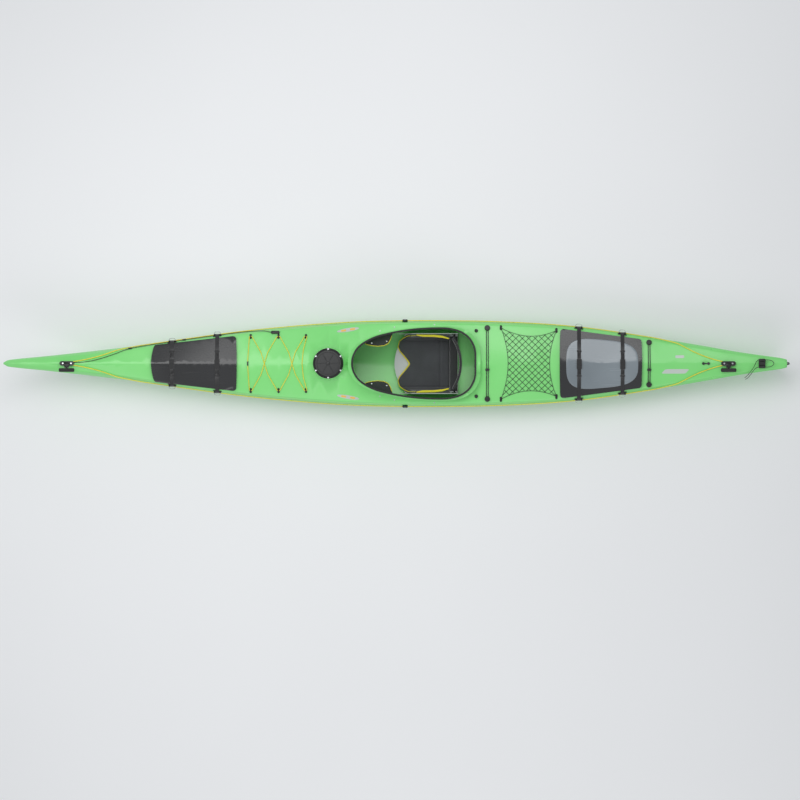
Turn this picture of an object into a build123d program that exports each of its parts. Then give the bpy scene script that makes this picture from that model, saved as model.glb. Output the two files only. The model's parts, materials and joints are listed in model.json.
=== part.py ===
"""Touring sea kayak: moulded hull and deck shells with every fitting as its own piece.

+X points to the stern, +Z up; the origin lies under the middle of the boat on the ground.
Lengths are in millimetres. Port is -Y.
"""

import math
import os

from build123d import *

# ---- overall size -----------------------------------------------------------------------
hull_length = 5160.0
beam = 572.0
hull_depth = 386.0
pintle_reach = 20.0
bow_x = -(hull_length + pintle_reach) / 2
stern_x = bow_x + hull_length
half_length = (hull_length + pintle_reach) / 2

# ---- walls and clearances ---------------------------------------------------------------
hull_wall = 5.0
seat_gap = 0.3
running_gap = 0.35
fitting_gap = 0.9

# ---- cockpit ----------------------------------------------------------------------------
cockpit_front_x = -296.0
cockpit_rear_x = 510.0
cockpit_half_width = 228.0
lip_front_x = -327.0
lip_rear_x = 547.0
lip_half_width = 245.0
lip_thickness = 7.0
coaming_wall = 6.0
deck_edge_offset = 2.0
trim_overlap = 3.0
trim_crown = 3.0

# ---- hatches ----------------------------------------------------------------------------
hatch_rim_inset = 35.0
hatch_rim_wall = 6.0
cover_rise = 18.0
cover_wall = 4.0
cover_skirt = 5.0
cover_deck_gap = 0.7
gasket_width = 10.0

# ---- straps and buckles -----------------------------------------------------------------
strap_width = 25.0
strap_thickness = 2.0
strap_cover_gap = 1.2
bar_radius = 3.0
anchor_length = 60.0
ring_wire = 2.0
buckle_width = 33.0
buckle_height = 9.0
socket_length = 36.0
plug_length = 28.0

# ---- cords ------------------------------------------------------------------------------
deck_line_diameter = 6.0
deck_line_offset = 6.5
lacing_diameter = 5.0
bungee_diameter = 5.0
towline_diameter = 4.0
rest_cord_diameter = 4.0

# ---- day hatch --------------------------------------------------------------------------
day_hatch_x = -456.0
day_flange_radius = 100.0
day_flange_height = 7.0
day_collar_radius = 79.5
day_collar_wall = 5.5
day_collar_height = 22.0
day_lid_radius = 86.0
day_lid_height = 30.0
day_lid_wall = 4.0
day_boss_height = 348.0

# ---- shared fastener --------------------------------------------------------------------
screw_head_radius = 6.0
screw_head_height = 2.6
screw_shank_radius = 2.5
screw_shank_length = 3.0

os.makedirs("parts", exist_ok=True)


# =========================================================================================
# Lines of the hull
# =========================================================================================


def fair(points):
    """Returns a smooth curve through the points that never swings past them."""
    xs = [p[0] for p in points]
    ys = [p[1] for p in points]
    steps = [(ys[i + 1] - ys[i]) / (xs[i + 1] - xs[i]) for i in range(len(xs) - 1)]
    slopes = [steps[0]]
    for i in range(1, len(xs) - 1):
        before, after = steps[i - 1], steps[i]
        if before * after <= 0:
            slopes.append(0.0)
            continue
        w1 = 2 * (xs[i + 1] - xs[i]) + (xs[i] - xs[i - 1])
        w2 = (xs[i + 1] - xs[i]) + 2 * (xs[i] - xs[i - 1])
        slopes.append((w1 + w2) / (w1 / before + w2 / after))
    slopes.append(steps[-1])

    def at(x):
        x = min(max(x, xs[0]), xs[-1])
        i = 0
        while i < len(xs) - 2 and x > xs[i + 1]:
            i += 1
        span = xs[i + 1] - xs[i]
        t = (x - xs[i]) / span
        return (
            (2 * t**3 - 3 * t**2 + 1) * ys[i]
            + (t**3 - 2 * t**2 + t) * span * slopes[i]
            + (3 * t**2 - 2 * t**3) * ys[i + 1]
            + (t**3 - t**2) * span * slopes[i + 1]
        )

    return at


# Table of offsets. The station is a share of the half length, bow -1 to stern +1, breadths
# are shares of the half beam, and heights are shares of the hull depth.
half_beam_line = fair(
    [
        (-1.0, 0.024), (-0.994, 0.056), (-0.981, 0.088), (-0.962, 0.108), (-0.885, 0.178),
        (-0.783, 0.283), (-0.681, 0.395), (-0.580, 0.524), (-0.478, 0.657), (-0.376, 0.773),
        (-0.274, 0.864), (-0.172, 0.937), (-0.070, 0.983), (0.058, 1.0), (0.185, 0.993),
        (0.286, 0.965), (0.388, 0.916), (0.490, 0.829), (0.592, 0.696), (0.694, 0.549),
        (0.796, 0.392), (0.898, 0.231), (0.958, 0.154), (0.981, 0.122), (0.9923, 0.091),
    ]
)  # fmt: skip
sheer_line = fair(
    [
        (-1.0, 0.948), (-0.916, 0.824), (-0.818, 0.692), (-0.688, 0.539), (-0.503, 0.446),
        (-0.248, 0.409), (0.077, 0.399), (0.347, 0.407), (0.579, 0.435), (0.710, 0.472),
        (0.809, 0.534), (0.906, 0.601), (0.9923, 0.648),
    ]
)  # fmt: skip
ridge_line = fair(
    [
        (-1.0, 0.974), (-0.988, 1.0), (-0.936, 0.966), (-0.834, 0.881), (-0.732, 0.813),
        (-0.631, 0.746), (-0.463, 0.736), (-0.376, 0.762), (-0.274, 0.839), (-0.185, 0.894),
        (-0.121, 0.876), (0.039, 0.772), (0.154, 0.705), (0.286, 0.705), (0.388, 0.674),
        (0.439, 0.637), (0.618, 0.630), (0.734, 0.630), (0.847, 0.658), (0.9923, 0.681),
    ]
)  # fmt: skip
keel_line = fair(
    [
        (-1.0, 0.933), (-0.988, 0.847), (-0.962, 0.725), (-0.936, 0.624), (-0.885, 0.420),
        (-0.834, 0.282), (-0.783, 0.197), (-0.732, 0.153), (-0.631, 0.111), (-0.478, 0.078),
        (-0.274, 0.026), (-0.116, -0.008), (0.077, -0.016), (0.309, -0.008), (0.490, 0.026),
        (0.695, 0.057), (0.888, 0.078), (0.954, 0.093), (0.974, 0.145), (0.987, 0.298),
        (0.9923, 0.415),
    ]
)  # fmt: skip
shoulder_line = fair(
    [
        (-1.0, 0.961), (-0.936, 0.902), (-0.834, 0.798), (-0.732, 0.715), (-0.631, 0.635),
        (-0.425, 0.611), (-0.274, 0.622), (-0.121, 0.630), (0.0, 0.617), (0.116, 0.575),
        (0.286, 0.570), (0.439, 0.528), (0.618, 0.526), (0.710, 0.549), (0.809, 0.601),
        (0.906, 0.642), (0.9923, 0.668),
    ]
)  # fmt: skip
chine_breadth = fair(
    [(-1.0, 0.62), (-0.689, 0.56), (-0.502, 0.62), (-0.270, 0.72), (0.0, 0.77),
     (0.347, 0.77), (0.618, 0.68), (0.811, 0.60), (0.9923, 0.62)]
)  # fmt: skip
chine_height = fair(
    [(-1.0, 0.40), (-0.689, 0.36), (-0.502, 0.30), (-0.270, 0.28), (0.618, 0.28),
     (0.811, 0.38), (0.9923, 0.40)]
)  # fmt: skip

STATIONS = [
    -1.0, -0.993, -0.981, -0.962, -0.927, -0.885, -0.834, -0.757, -0.681, -0.5745, -0.4595,
    -0.376, -0.274, -0.172, -0.070, 0.058, 0.185, 0.286, 0.388, 0.463, 0.5737, 0.694, 0.796,
    0.873, 0.927, 0.958, 0.974, 0.985, 0.9923,
]  # fmt: skip
shoulder_lean = 20.0
chine_radius = 60.0
sheer_radius = 14.0
shoulder_radius = 24.0


def half_section(x):
    """Corners of the starboard half of the section at x, keel to ridge, as (y, z)."""
    u = x / half_length
    half = half_beam_line(u) * beam / 2
    keel = keel_line(u) * hull_depth
    sheer = sheer_line(u) * hull_depth
    chine_z = keel + (sheer - keel) * chine_height(u)
    return [
        (0.0, keel),
        (half * chine_breadth(u), chine_z),
        (half, sheer),
        (half - min(shoulder_lean, half / 4), shoulder_line(u) * hull_depth),
        (0.0, ridge_line(u) * hull_depth),
    ]


def closed_section(x, out=0.0):
    """Corners and rounding radii of the whole section at x, moved outwards by out."""
    half = half_section(x)
    breadth = half[2][0]
    soft = [
        0.0,
        min(chine_radius, 0.3 * breadth),
        min(sheer_radius, 0.2 * breadth),
        min(shoulder_radius, 0.25 * breadth),
        0.0,
    ]
    corners = half + [(-y, z) for y, z in reversed(half[1:-1])]
    radii = soft + soft[-2:0:-1]
    count = len(corners)
    moved = []
    for i, (y, z) in enumerate(corners):
        before, after = corners[i - 1], corners[(i + 1) % count]
        run_in, run_out = math.dist(before, (y, z)), math.dist((y, z), after)
        n1 = ((z - before[1]) / run_in, (before[0] - y) / run_in)
        n2 = ((after[1] - z) / run_out, (y - after[0]) / run_out)
        spread = out / (1 + n1[0] * n2[0] + n1[1] * n2[1])
        moved.append((y + (n1[0] + n2[0]) * spread, z + (n1[1] + n2[1]) * spread))
    limited = []
    for i, point in enumerate(moved):
        before, after = moved[i - 1], moved[(i + 1) % count]
        heading_in = math.atan2(point[1] - before[1], point[0] - before[0])
        heading_out = math.atan2(after[1] - point[1], after[0] - point[0])
        turn = abs((heading_out - heading_in + math.pi) % (2 * math.pi) - math.pi)
        room = 0.42 * min(math.dist(before, point), math.dist(point, after))
        wanted = max(radii[i] + out, 1.0) if radii[i] else 0.0
        limited.append(min(wanted, room / math.tan(turn / 2)))
    return moved, limited


def section_face(x, out=0.0):
    """Face of the section at x, moved outwards by out."""
    corners, radii = closed_section(x, out)
    with BuildSketch(Plane(origin=(x, 0, 0), x_dir=(0, 1, 0), z_dir=(1, 0, 0))) as face:
        with BuildLine():
            FilletPolyline(*corners, radius=radii, close=True)
        make_face()
    return face.sketch


def hull_form(out=0.0, first=-math.inf, last=math.inf):
    """Solid of the hull's form, moved outwards by out, between two places along it."""
    places = [u * half_length for u in STATIONS]
    ahead = [x for x in places if x < first]
    behind = [x for x in places if x > last]
    kept = ahead[-1:] + [x for x in places if first <= x <= last] + behind[:1]
    return loft([section_face(x, out) for x in kept])


def deck_height(x, y):
    """Height of the deck at (x, y), by the section's straight edges."""
    _, _, sheer, shoulder, ridge = half_section(x)
    y = abs(y)
    if y > shoulder[0]:
        share = (y - shoulder[0]) / (sheer[0] - shoulder[0])
        return shoulder[1] + (sheer[1] - shoulder[1]) * share
    return ridge[1] + (shoulder[1] - ridge[1]) * y / shoulder[0]


def deck_seat(x, y, lift=seat_gap):
    """Plane that lies on the deck at (x, y), raised by lift."""
    step = 4.0
    side = -1 if y < 0 else 1
    inward = y - side * step
    along = Vector(2 * step, 0, deck_height(x + step, y) - deck_height(x - step, y))
    across = Vector(0, side * step, deck_height(x, y) - deck_height(x, inward))
    normal = along.cross(across) * side
    origin = Vector(x, y, deck_height(x, y)) + normal.normalized() * lift
    return Plane(origin=origin, x_dir=along, z_dir=normal)


def ridge_seat(x, lift=seat_gap):
    """Plane that lies along the deck's ridge at x, level across the boat."""
    step = 4.0
    along = Vector(2 * step, 0, deck_height(x + step, 0) - deck_height(x - step, 0))
    upward = Vector(-along.Z, 0, along.X).normalized()
    return Plane(origin=Vector(x, 0, deck_height(x, 0)) + upward * lift, x_dir=along, z_dir=upward)


def gunwale_point(x, side, share, out):
    """Point out from the shoulder face at x; share runs from the sheer 0 to shoulder 1."""
    _, _, sheer, shoulder, _ = half_section(x)
    length = math.dist(sheer, shoulder)
    normal = ((shoulder[1] - sheer[1]) / length, (sheer[0] - shoulder[0]) / length)
    y = sheer[0] + (shoulder[0] - sheer[0]) * share + normal[0] * out
    z = sheer[1] + (shoulder[1] - sheer[1]) * share + normal[1] * out
    return Vector(x, side * y, z)


def gunwale_normal(x, side):
    """Outward direction of the shoulder face at x."""
    return (gunwale_point(x, side, 0, 1) - gunwale_point(x, side, 0, 0)).normalized()


def side_point(x, side=1, z=105.0):
    """Point on the hull's side, between chine and sheer, at height z."""
    _, chine, sheer, _, _ = half_section(x)
    share = (z - chine[1]) / (sheer[1] - chine[1])
    return Vector(x, side * (chine[0] + (sheer[0] - chine[0]) * share), z)


def bolt_seat(x, side=1, z=105.0):
    """Plane on the hull's side with its normal outwards."""
    along = side_point(x + 5, side, z) - side_point(x - 5, side, z)
    upward = side_point(x, side, z + 5) - side_point(x, side, z - 5)
    return Plane(origin=side_point(x, side, z), x_dir=along, z_dir=along.cross(upward) * -side)


def profile_band(top, bottom, margin=400.0):
    """Slab across the boat whose upper and lower edges follow two curves along it."""
    with BuildPart() as band:
        with BuildSketch(Plane.XZ):
            with BuildLine():
                upper = Spline(*top)
                lower = Spline(*bottom)
                Line(upper @ 0, lower @ 0)
                Line(upper @ 1, lower @ 1)
            make_face()
        extrude(amount=margin, both=True)
    return band.part


def cord_radii(points, closed=False):
    """Radius at each corner of a cord's route, as large as its two runs allow."""
    count = len(points)
    places = range(count) if closed else range(1, count - 1)
    radii = []
    for i in places:
        run_in = points[i] - points[i - 1]
        run_out = points[(i + 1) % count] - points[i]
        turn = math.radians(run_in.get_angle(run_out))
        radii.append(0.45 * min(run_in.length, run_out.length) / math.tan(turn / 2))
    return radii


def cord_tube(points, diameter, radii=None, closed=False):
    """Round cord along straight runs joined by arcs."""
    radii = radii or cord_radii(points, closed)
    with BuildPart() as tube:
        with BuildLine() as route:
            FilletPolyline(*points, radius=radii, close=closed)
        with BuildSketch(Plane(origin=route.line @ 0, z_dir=route.line % 0)):
            Circle(diameter / 2)
        sweep(path=route.wires()[0])
    return tube.part


def write(part, name):
    """Labels a finished piece and writes it."""
    part.label = name
    export_step(part, f"parts/{name}.step")


# =========================================================================================
# Outlines seen from above
# =========================================================================================


# Half breadths of the cockpit as shares of its length from the front and of its half width.
COCKPIT_SIDE = [
    (0.0, 0.0), (0.0, 0.150), (0.040, 0.430), (0.100, 0.600), (0.190, 0.755), (0.323, 0.875),
    (0.480, 0.965), (0.640, 1.005), (0.780, 1.005), (0.880, 0.920), (0.955, 0.735),
    (1.0, 0.420), (1.0, 0.0),
]  # fmt: skip


def cockpit_outline(front_x, rear_x, half_width, out=0.0, height=0.0):
    """Outline of the cockpit, pointed in front and full behind, moved outwards by out."""
    length = rear_x - front_x
    side = [Vector(front_x + s * length, w * half_width) for s, w in COCKPIT_SIDE]
    around = side[1:-1] + [Vector(v.X, -v.Y) for v in reversed(side[1:-1])]
    with BuildSketch(Plane.XY.offset(height)) as outline:
        with BuildLine():
            FilletPolyline(*around, radius=cord_radii(around, closed=True), close=True)
        make_face()
        if out:
            offset(amount=out)
    return outline.sketch


def cockpit_opening(out=0.0, height=0.0):
    """Outline of the clear opening."""
    return cockpit_outline(cockpit_front_x, cockpit_rear_x, cockpit_half_width, out, height)


class Hatch:
    """Sizes of one oval-cornered hatch."""

    def __init__(self, name, xs, front_width, rear_width, bulge, base_z, strap_xs):
        self.name = name
        self.front_x, self.rear_x = xs
        self.front_width, self.rear_width = front_width, rear_width
        self.bulge = bulge
        self.base_z = base_z
        self.strap_xs = strap_xs

    def outline(self, inset=0.0, height=0.0):
        """Outline of the cover, moved inwards by inset."""
        corner_radius = 22.0
        front, rear = self.front_width / 2, self.rear_width / 2
        with BuildSketch(Plane.XY.offset(height)) as sketch:
            with BuildLine():
                Line((self.front_x, front), (self.rear_x, rear))
                Line((self.front_x, -front), (self.rear_x, -rear))
                ThreePointArc(
                    (self.front_x, front), (self.front_x - self.bulge, 0), (self.front_x, -front)
                )
                ThreePointArc(
                    (self.rear_x, rear), (self.rear_x + self.bulge / 3, 0), (self.rear_x, -rear)
                )
            make_face()
            fillet(sketch.vertices(), corner_radius)
            if inset:
                offset(amount=-inset)
        return sketch.sketch


front_hatch = Hatch(
    "front_hatch", (-1604.0, -1066.0), 244.0, 366.0, 20.0, 215.0, (-1488.0, -1190.0)
)
rear_hatch = Hatch("rear_hatch", (1076.0, 1612.0), 462.0, 322.0, 6.0, 180.0, (1199.0, 1486.0))
HATCHES = (front_hatch, rear_hatch)
SIDES = {"port": -1, "starboard": 1}

# =========================================================================================
# Hull and deck shells
# =========================================================================================

print("lofting the hull")
form = hull_form()
clear_form = hull_form(seat_gap)
cover_clear_form = hull_form(cover_deck_gap)
inner_form = hull_form(-hull_wall, -0.95 * half_length, 0.96 * half_length)

lip_curve = [(-345, 381), (-181, 353), (16, 319), (214, 298), (346, 283), (478, 287), (565, 299)]
trim_curve = [(-345, 388), (-181, 368), (16, 337), (214, 315), (346, 302), (478, 300), (565, 307)]

bolt_radius = 2.8
bolt_hole_radius = 3.2
rail_front_x = -954.0
rail_rear_x = -578.0
rail_height_z = 105.0
rail_bolt_xs = (rail_front_x, (rail_front_x + rail_rear_x) / 2, rail_rear_x)
pintle_z = 218.0

with BuildPart() as boat_shell:
    add(form, clean=False)
    with BuildSketch(Plane.XY):
        Rectangle(2.1 * half_length, 2 * beam)
    extrude(amount=2 * hull_depth, mode=Mode.INTERSECT, clean=False)
    with BuildSketch(Plane.XY.offset(day_boss_height - 60)):
        with Locations((day_hatch_x, 0)):
            Circle(day_flange_radius + 14)
    with BuildSketch(Plane.XY.offset(day_boss_height)):
        with Locations((day_hatch_x, 0)):
            Circle(day_flange_radius + 3)
    loft(clean=False)
    with BuildSketch(Plane.XY.offset(day_boss_height)):
        with Locations((day_hatch_x, 0)):
            Circle(day_flange_radius + 3)
    extrude(amount=40, mode=Mode.SUBTRACT, clean=False)

with BuildPart() as boat_cavity:
    add(inner_form, clean=False)
    with BuildSketch(Plane.XY.offset(hull_wall)):
        Rectangle(2.1 * half_length, 2 * beam)
    extrude(amount=2 * hull_depth, mode=Mode.INTERSECT, clean=False)

with BuildPart() as openings:
    add(cockpit_opening(deck_edge_offset, height=140))
    extrude(amount=400)
    for hatch in HATCHES:
        add(hatch.outline(hatch_rim_inset, hatch.base_z - 30))
        extrude(amount=300)
    with BuildSketch(Plane.XY.offset(250)):
        with Locations((day_hatch_x, 0)):
            Circle(day_collar_radius - day_collar_wall)
    extrude(amount=200)

parting = [(u * half_length, sheer_line(u) * hull_depth) for u in STATIONS]
below_parting = profile_band(
    [(parting[0][0] - 20, parting[0][1]), *parting, (stern_x + 20, parting[-1][1])],
    [(bow_x - 20, -100), (0, -100), (stern_x + 20, -100)],
)

print("hull")
with BuildPart() as hull:
    add(boat_shell.part, clean=False)
    add(boat_cavity.part, mode=Mode.SUBTRACT, clean=False)
    add(below_parting, mode=Mode.INTERSECT, clean=False)
    for x in rail_bolt_xs:
        for seat in (bolt_seat(x), bolt_seat(x, -1)):
            with Locations(seat):
                Cylinder(bolt_hole_radius, 40, mode=Mode.SUBTRACT)
write(hull.part, "hull")

print("deck")
with BuildPart() as deck:
    add(boat_shell.part, clean=False)
    add(boat_cavity.part, mode=Mode.SUBTRACT, clean=False)
    add(below_parting, mode=Mode.SUBTRACT, clean=False)
    add(openings.part, mode=Mode.SUBTRACT, clean=False)
write(deck.part, "deck")

# =========================================================================================
# Coaming
# =========================================================================================


def shifted(curve, rise):
    """The curve moved up by rise."""
    return [(x, z + rise) for x, z in curve]


lip_band = profile_band(lip_curve, shifted(lip_curve, -lip_thickness))
below_upstand = profile_band(
    shifted(trim_curve, -trim_crown - seat_gap), [(x, 100.0) for x, _ in trim_curve]
)
above_lip = profile_band(trim_curve, shifted(lip_curve, 0.4))
slot_in_trim = profile_band(shifted(trim_curve, -trim_crown), [(x, 100.0) for x, _ in trim_curve])

print("coaming")
with BuildPart() as lip:
    add(cockpit_outline(lip_front_x, lip_rear_x, lip_half_width, height=150))
    extrude(amount=300)
    add(lip_band, mode=Mode.INTERSECT, clean=False)

with BuildPart() as cockpit_coaming:
    add(cockpit_opening(coaming_wall, 150))
    extrude(amount=300)
    add(below_upstand, mode=Mode.INTERSECT, clean=False)
    add(lip.part, clean=False)
    with BuildSketch() as clear_opening:
        add(cockpit_opening(0, 100))
    extrude(to_extrude=clear_opening.sketch, amount=500, mode=Mode.SUBTRACT, clean=False)
    add(clear_form, mode=Mode.SUBTRACT, clean=False)
write(cockpit_coaming.part, "cockpit_coaming")

with BuildPart() as upstand_slot:
    add(cockpit_opening(coaming_wall + seat_gap, 150))
    extrude(amount=300)
    add(slot_in_trim, mode=Mode.INTERSECT, clean=False)

with BuildPart() as coaming_trim:
    add(cockpit_opening(coaming_wall + trim_overlap, 150))
    extrude(amount=300)
    add(above_lip, mode=Mode.INTERSECT, clean=False)
    add(upstand_slot.part, mode=Mode.SUBTRACT, clean=False)
    with BuildSketch() as clear_trim:
        add(cockpit_opening(-trim_overlap, 100))
    extrude(to_extrude=clear_trim.sketch, amount=500, mode=Mode.SUBTRACT, clean=False)
write(coaming_trim.part, "coaming_trim")

# =========================================================================================
# Hatch rims, gaskets and covers
# =========================================================================================

rim_height = 10.0
for hatch in HATCHES:
    print(hatch.name)
    near, far = hatch.front_x - 60, hatch.rear_x + 60
    offsets = (rim_height, rim_height + 0.4, cover_rise - cover_wall - 0.4)
    rim_top, seal_under, seal_top = [hull_form(out, near, far) for out in offsets]
    cover_inside = hull_form(cover_rise - cover_wall, near, far)
    cover_top = hull_form(cover_rise, near, far)

    with BuildPart() as rim:
        add(hatch.outline(hatch_rim_inset - hatch_rim_wall, hatch.base_z))
        extrude(amount=200)
        add(rim_top, mode=Mode.INTERSECT, clean=False)
        with BuildSketch() as rim_bore:
            add(hatch.outline(hatch_rim_inset + hatch_rim_wall, 140))
        extrude(to_extrude=rim_bore.sketch, amount=500, mode=Mode.SUBTRACT, clean=False)
        add(clear_form, mode=Mode.SUBTRACT, clean=False)
    write(rim.part, f"{hatch.name}_rim")

    with BuildPart() as gasket:
        add(hatch.outline(hatch_rim_inset - gasket_width, hatch.base_z))
        extrude(amount=200)
        add(seal_top, mode=Mode.INTERSECT, clean=False)
        with BuildSketch() as gasket_bore:
            add(hatch.outline(hatch_rim_inset + gasket_width, 140))
        extrude(to_extrude=gasket_bore.sketch, amount=500, mode=Mode.SUBTRACT, clean=False)
        add(seal_under, mode=Mode.SUBTRACT, clean=False)
    write(gasket.part, f"{hatch.name}_gasket")

    with BuildPart() as hollow:
        add(hatch.outline(cover_skirt, 100))
        extrude(amount=300)
        add(cover_inside, mode=Mode.INTERSECT, clean=False)

    with BuildPart() as cover:
        add(hatch.outline(0, hatch.base_z))
        extrude(amount=200)
        add(cover_top, mode=Mode.INTERSECT, clean=False)
        add(hollow.part, mode=Mode.SUBTRACT, clean=False)
        add(cover_clear_form, mode=Mode.SUBTRACT, clean=False)
    write(cover.part, f"{hatch.name}_cover")

# =========================================================================================
# Cover straps: each half hinges on a bar at the gunwale and meets its mate at the ridge
# =========================================================================================

anchor_share = 0.70
bar_lift = 10.5


def strap_bar(x):
    """Centre of the starboard anchor bar, as (y, z)."""
    point = gunwale_point(x, 1, anchor_share, seat_gap + bar_lift)
    return point.Y, point.Z


def deck_offset_point(x, y, out):
    """Height of the deck's straight edge moved outwards by out, at (x, y)."""
    corners, _ = closed_section(x, out)
    shoulder, ridge = corners[3], corners[4]
    return ridge[1] + (shoulder[1] - ridge[1]) * y / shoulder[0]


def section_plane(x):
    """Plane across the boat at x with y to starboard and z up."""
    return Plane(origin=(x, 0, 0), x_dir=(0, 1, 0), z_dir=(1, 0, 0))


def strap_half(x, buckle_length):
    """Starboard half of a strap with its half of the buckle."""
    under = cover_rise + strap_cover_gap
    over = under + strap_thickness
    bar_y, bar_z = strap_bar(x)
    elbow = closed_section(x, under + strap_thickness / 2)[0][3]
    lean = math.atan2(elbow[1] - bar_z, elbow[0] - bar_y)
    aside = (math.sin(lean), -math.cos(lean))
    loop = bar_radius + running_gap
    inside = (bar_y + aside[0] * loop, bar_z + aside[1] * loop)
    beyond = loop + strap_thickness
    outside = (bar_y + aside[0] * beyond, bar_z + aside[1] * beyond)
    start_y = buckle_length - 5
    with BuildPart() as half:
        with BuildSketch(section_plane(x)):
            with BuildLine():
                lower = FilletPolyline(
                    (start_y, deck_offset_point(x, start_y, under)),
                    closed_section(x, under)[0][3],
                    inside,
                    radius=22,
                )
                upper = FilletPolyline(
                    (start_y, deck_offset_point(x, start_y, over)),
                    closed_section(x, over)[0][3],
                    outside,
                    radius=24,
                )
                Line(lower @ 0, upper @ 0)
                Line(lower @ 1, upper @ 1)
            make_face()
            with Locations((bar_y, bar_z)):
                Circle(beyond)
                Circle(loop, mode=Mode.SUBTRACT)
        extrude(amount=strap_width / 2, both=True)
        for near, far, width, lift in (
            (0.25, buckle_length, buckle_width, buckle_height),
            (78.0, 86.0, strap_width + 6, 4.6),
        ):
            with BuildSketch(section_plane(x)):
                with BuildLine():
                    Polyline(
                        (near, deck_offset_point(x, near, under - 0.4)),
                        (far, deck_offset_point(x, far, under - 0.4)),
                        (far, deck_offset_point(x, far, under + lift)),
                        (near, deck_offset_point(x, near, under + lift)),
                        close=True,
                    )
                make_face()
            extrude(amount=width / 2, both=True)
    return half.part


def strap_anchor(x):
    """Starboard bracket with its hinge bar and the two sockets of its ring."""
    foot = gunwale_point(x, 1, anchor_share, seat_gap)
    square = Plane(origin=foot, x_dir=(1, 0, 0), z_dir=gunwale_normal(x, 1))
    step = gunwale_point(x + 30, 1, anchor_share, seat_gap)
    along = step - gunwale_point(x - 30, 1, anchor_share, seat_gap)
    across = along.cross(gunwale_normal(x, 1))
    with BuildPart() as anchor:
        with BuildSketch(Plane(origin=foot, x_dir=along, z_dir=across.cross(along))):
            RectangleRounded(anchor_length, 14, 4)
        extrude(amount=2.5)
        for places, size, top in (((-16, 16), (4, 12), 15.0), ((-21, 21), (6.2, 10), 14.0)):
            for place in places:
                low = square.to_local_coords(foot + along * (place / along.length)).Z + 1.0
                with BuildSketch(square.offset(low)):
                    with Locations((place, 0)):
                        Rectangle(*size)
                extrude(amount=top - low)
        with Locations(square.offset(bar_lift)):
            Cylinder(bar_radius, 32, rotation=(0, 90, 0))
            with Locations((-21, 0, 0), (21, 0, 0)):
                Cylinder(ring_wire + 0.3, 20, rotation=(-55, 0, 0), mode=Mode.SUBTRACT)
    return anchor.part


def anchor_ring(x):
    """Starboard half ring, leaning down and out from its bracket."""
    origin = gunwale_point(x, 1, anchor_share, seat_gap)
    wall = Plane(origin=origin, x_dir=(1, 0, 0), z_dir=gunwale_normal(x, 1)).offset(bar_lift)
    lying = wall.rotated((90 - 55, 0, 0))
    with BuildPart() as ring:
        with BuildLine(lying):
            FilletPolyline((-21, -1), (-21, 24), (21, 24), (21, -1), radius=16)
        with BuildSketch(Plane(origin=lying.from_local_coords((-21, -1, 0)), z_dir=lying.y_dir)):
            Circle(ring_wire)
        sweep()
    return ring.part


print("straps")
strap_places = [(hatch, end, x) for hatch in HATCHES for end, x in zip(("front", "rear"), hatch.strap_xs)]
for hatch, end, x in strap_places:
    plug_half = strap_half(x, plug_length)
    socket_half = mirror(strap_half(x, socket_length), about=Plane.XZ)
    write(plug_half, f"{hatch.name}_{end}_strap_starboard")
    write(socket_half, f"{hatch.name}_{end}_strap_port")

with BuildPart() as strap_anchors:
    for _, _, x in strap_places:
        add(strap_anchor(x))
        add(mirror(strap_anchor(x), about=Plane.XZ))
write(strap_anchors.part, "strap_anchors")

with BuildPart() as strap_rings:
    for _, _, x in strap_places:
        add(anchor_ring(x))
        add(mirror(anchor_ring(x), about=Plane.XZ))
write(strap_rings.part, "strap_rings")

# =========================================================================================
# Day hatch
# =========================================================================================

flange_z = day_boss_height + seat_gap
collar_z = flange_z + day_flange_height
lid_z = collar_z + 1.0
day_screws = [
    Plane((day_hatch_x + 93.4 * math.cos(a), 93.4 * math.sin(a), collar_z + 0.3))
    for a in (math.radians(30 + 60 * k) for k in range(6))
]


def screw(seat):
    """Pan-head screw lying on its seat."""
    with BuildPart(seat) as fastener:
        Cylinder(
            screw_head_radius,
            screw_head_height,
            align=(Align.CENTER, Align.CENTER, Align.MIN),
        )
        fillet(fastener.edges().sort_by(Axis(seat.origin, seat.z_dir))[-1], 1.2)
        with Locations((0, 0, -screw_shank_length)):
            Cylinder(
                screw_shank_radius,
                screw_shank_length + 0.5,
                align=(Align.CENTER, Align.CENTER, Align.MIN),
            )
    return fastener.part


def screw_hole(seat):
    """Clearance bore for a screw's shank."""
    with BuildPart(seat) as bore:
        Cylinder(screw_shank_radius + 0.3, 2 * screw_shank_length + 2)
    return bore.part


with BuildPart() as day_hatch_ring:
    with Locations((day_hatch_x, 0, flange_z)):
        Cylinder(
            day_flange_radius, day_flange_height, align=(Align.CENTER, Align.CENTER, Align.MIN)
        )
        Cylinder(
            day_collar_radius,
            day_flange_height + day_collar_height,
            align=(Align.CENTER, Align.CENTER, Align.MIN),
        )
        Cylinder(day_collar_radius - day_collar_wall, 200, mode=Mode.SUBTRACT)
    for seat in day_screws:
        add(screw_hole(seat), mode=Mode.SUBTRACT)
write(day_hatch_ring.part, "day_hatch_ring")

seal_z = collar_z + day_collar_height + 0.3
seal_height = lid_z + day_lid_height - day_lid_wall - 0.3 - seal_z
with BuildPart() as day_hatch_seal:
    with Locations((day_hatch_x, 0, seal_z)):
        Cylinder(day_collar_radius, seal_height, align=(Align.CENTER, Align.CENTER, Align.MIN))
        Cylinder(day_collar_radius - 7, 40, mode=Mode.SUBTRACT)
write(day_hatch_seal.part, "day_hatch_seal")

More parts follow.
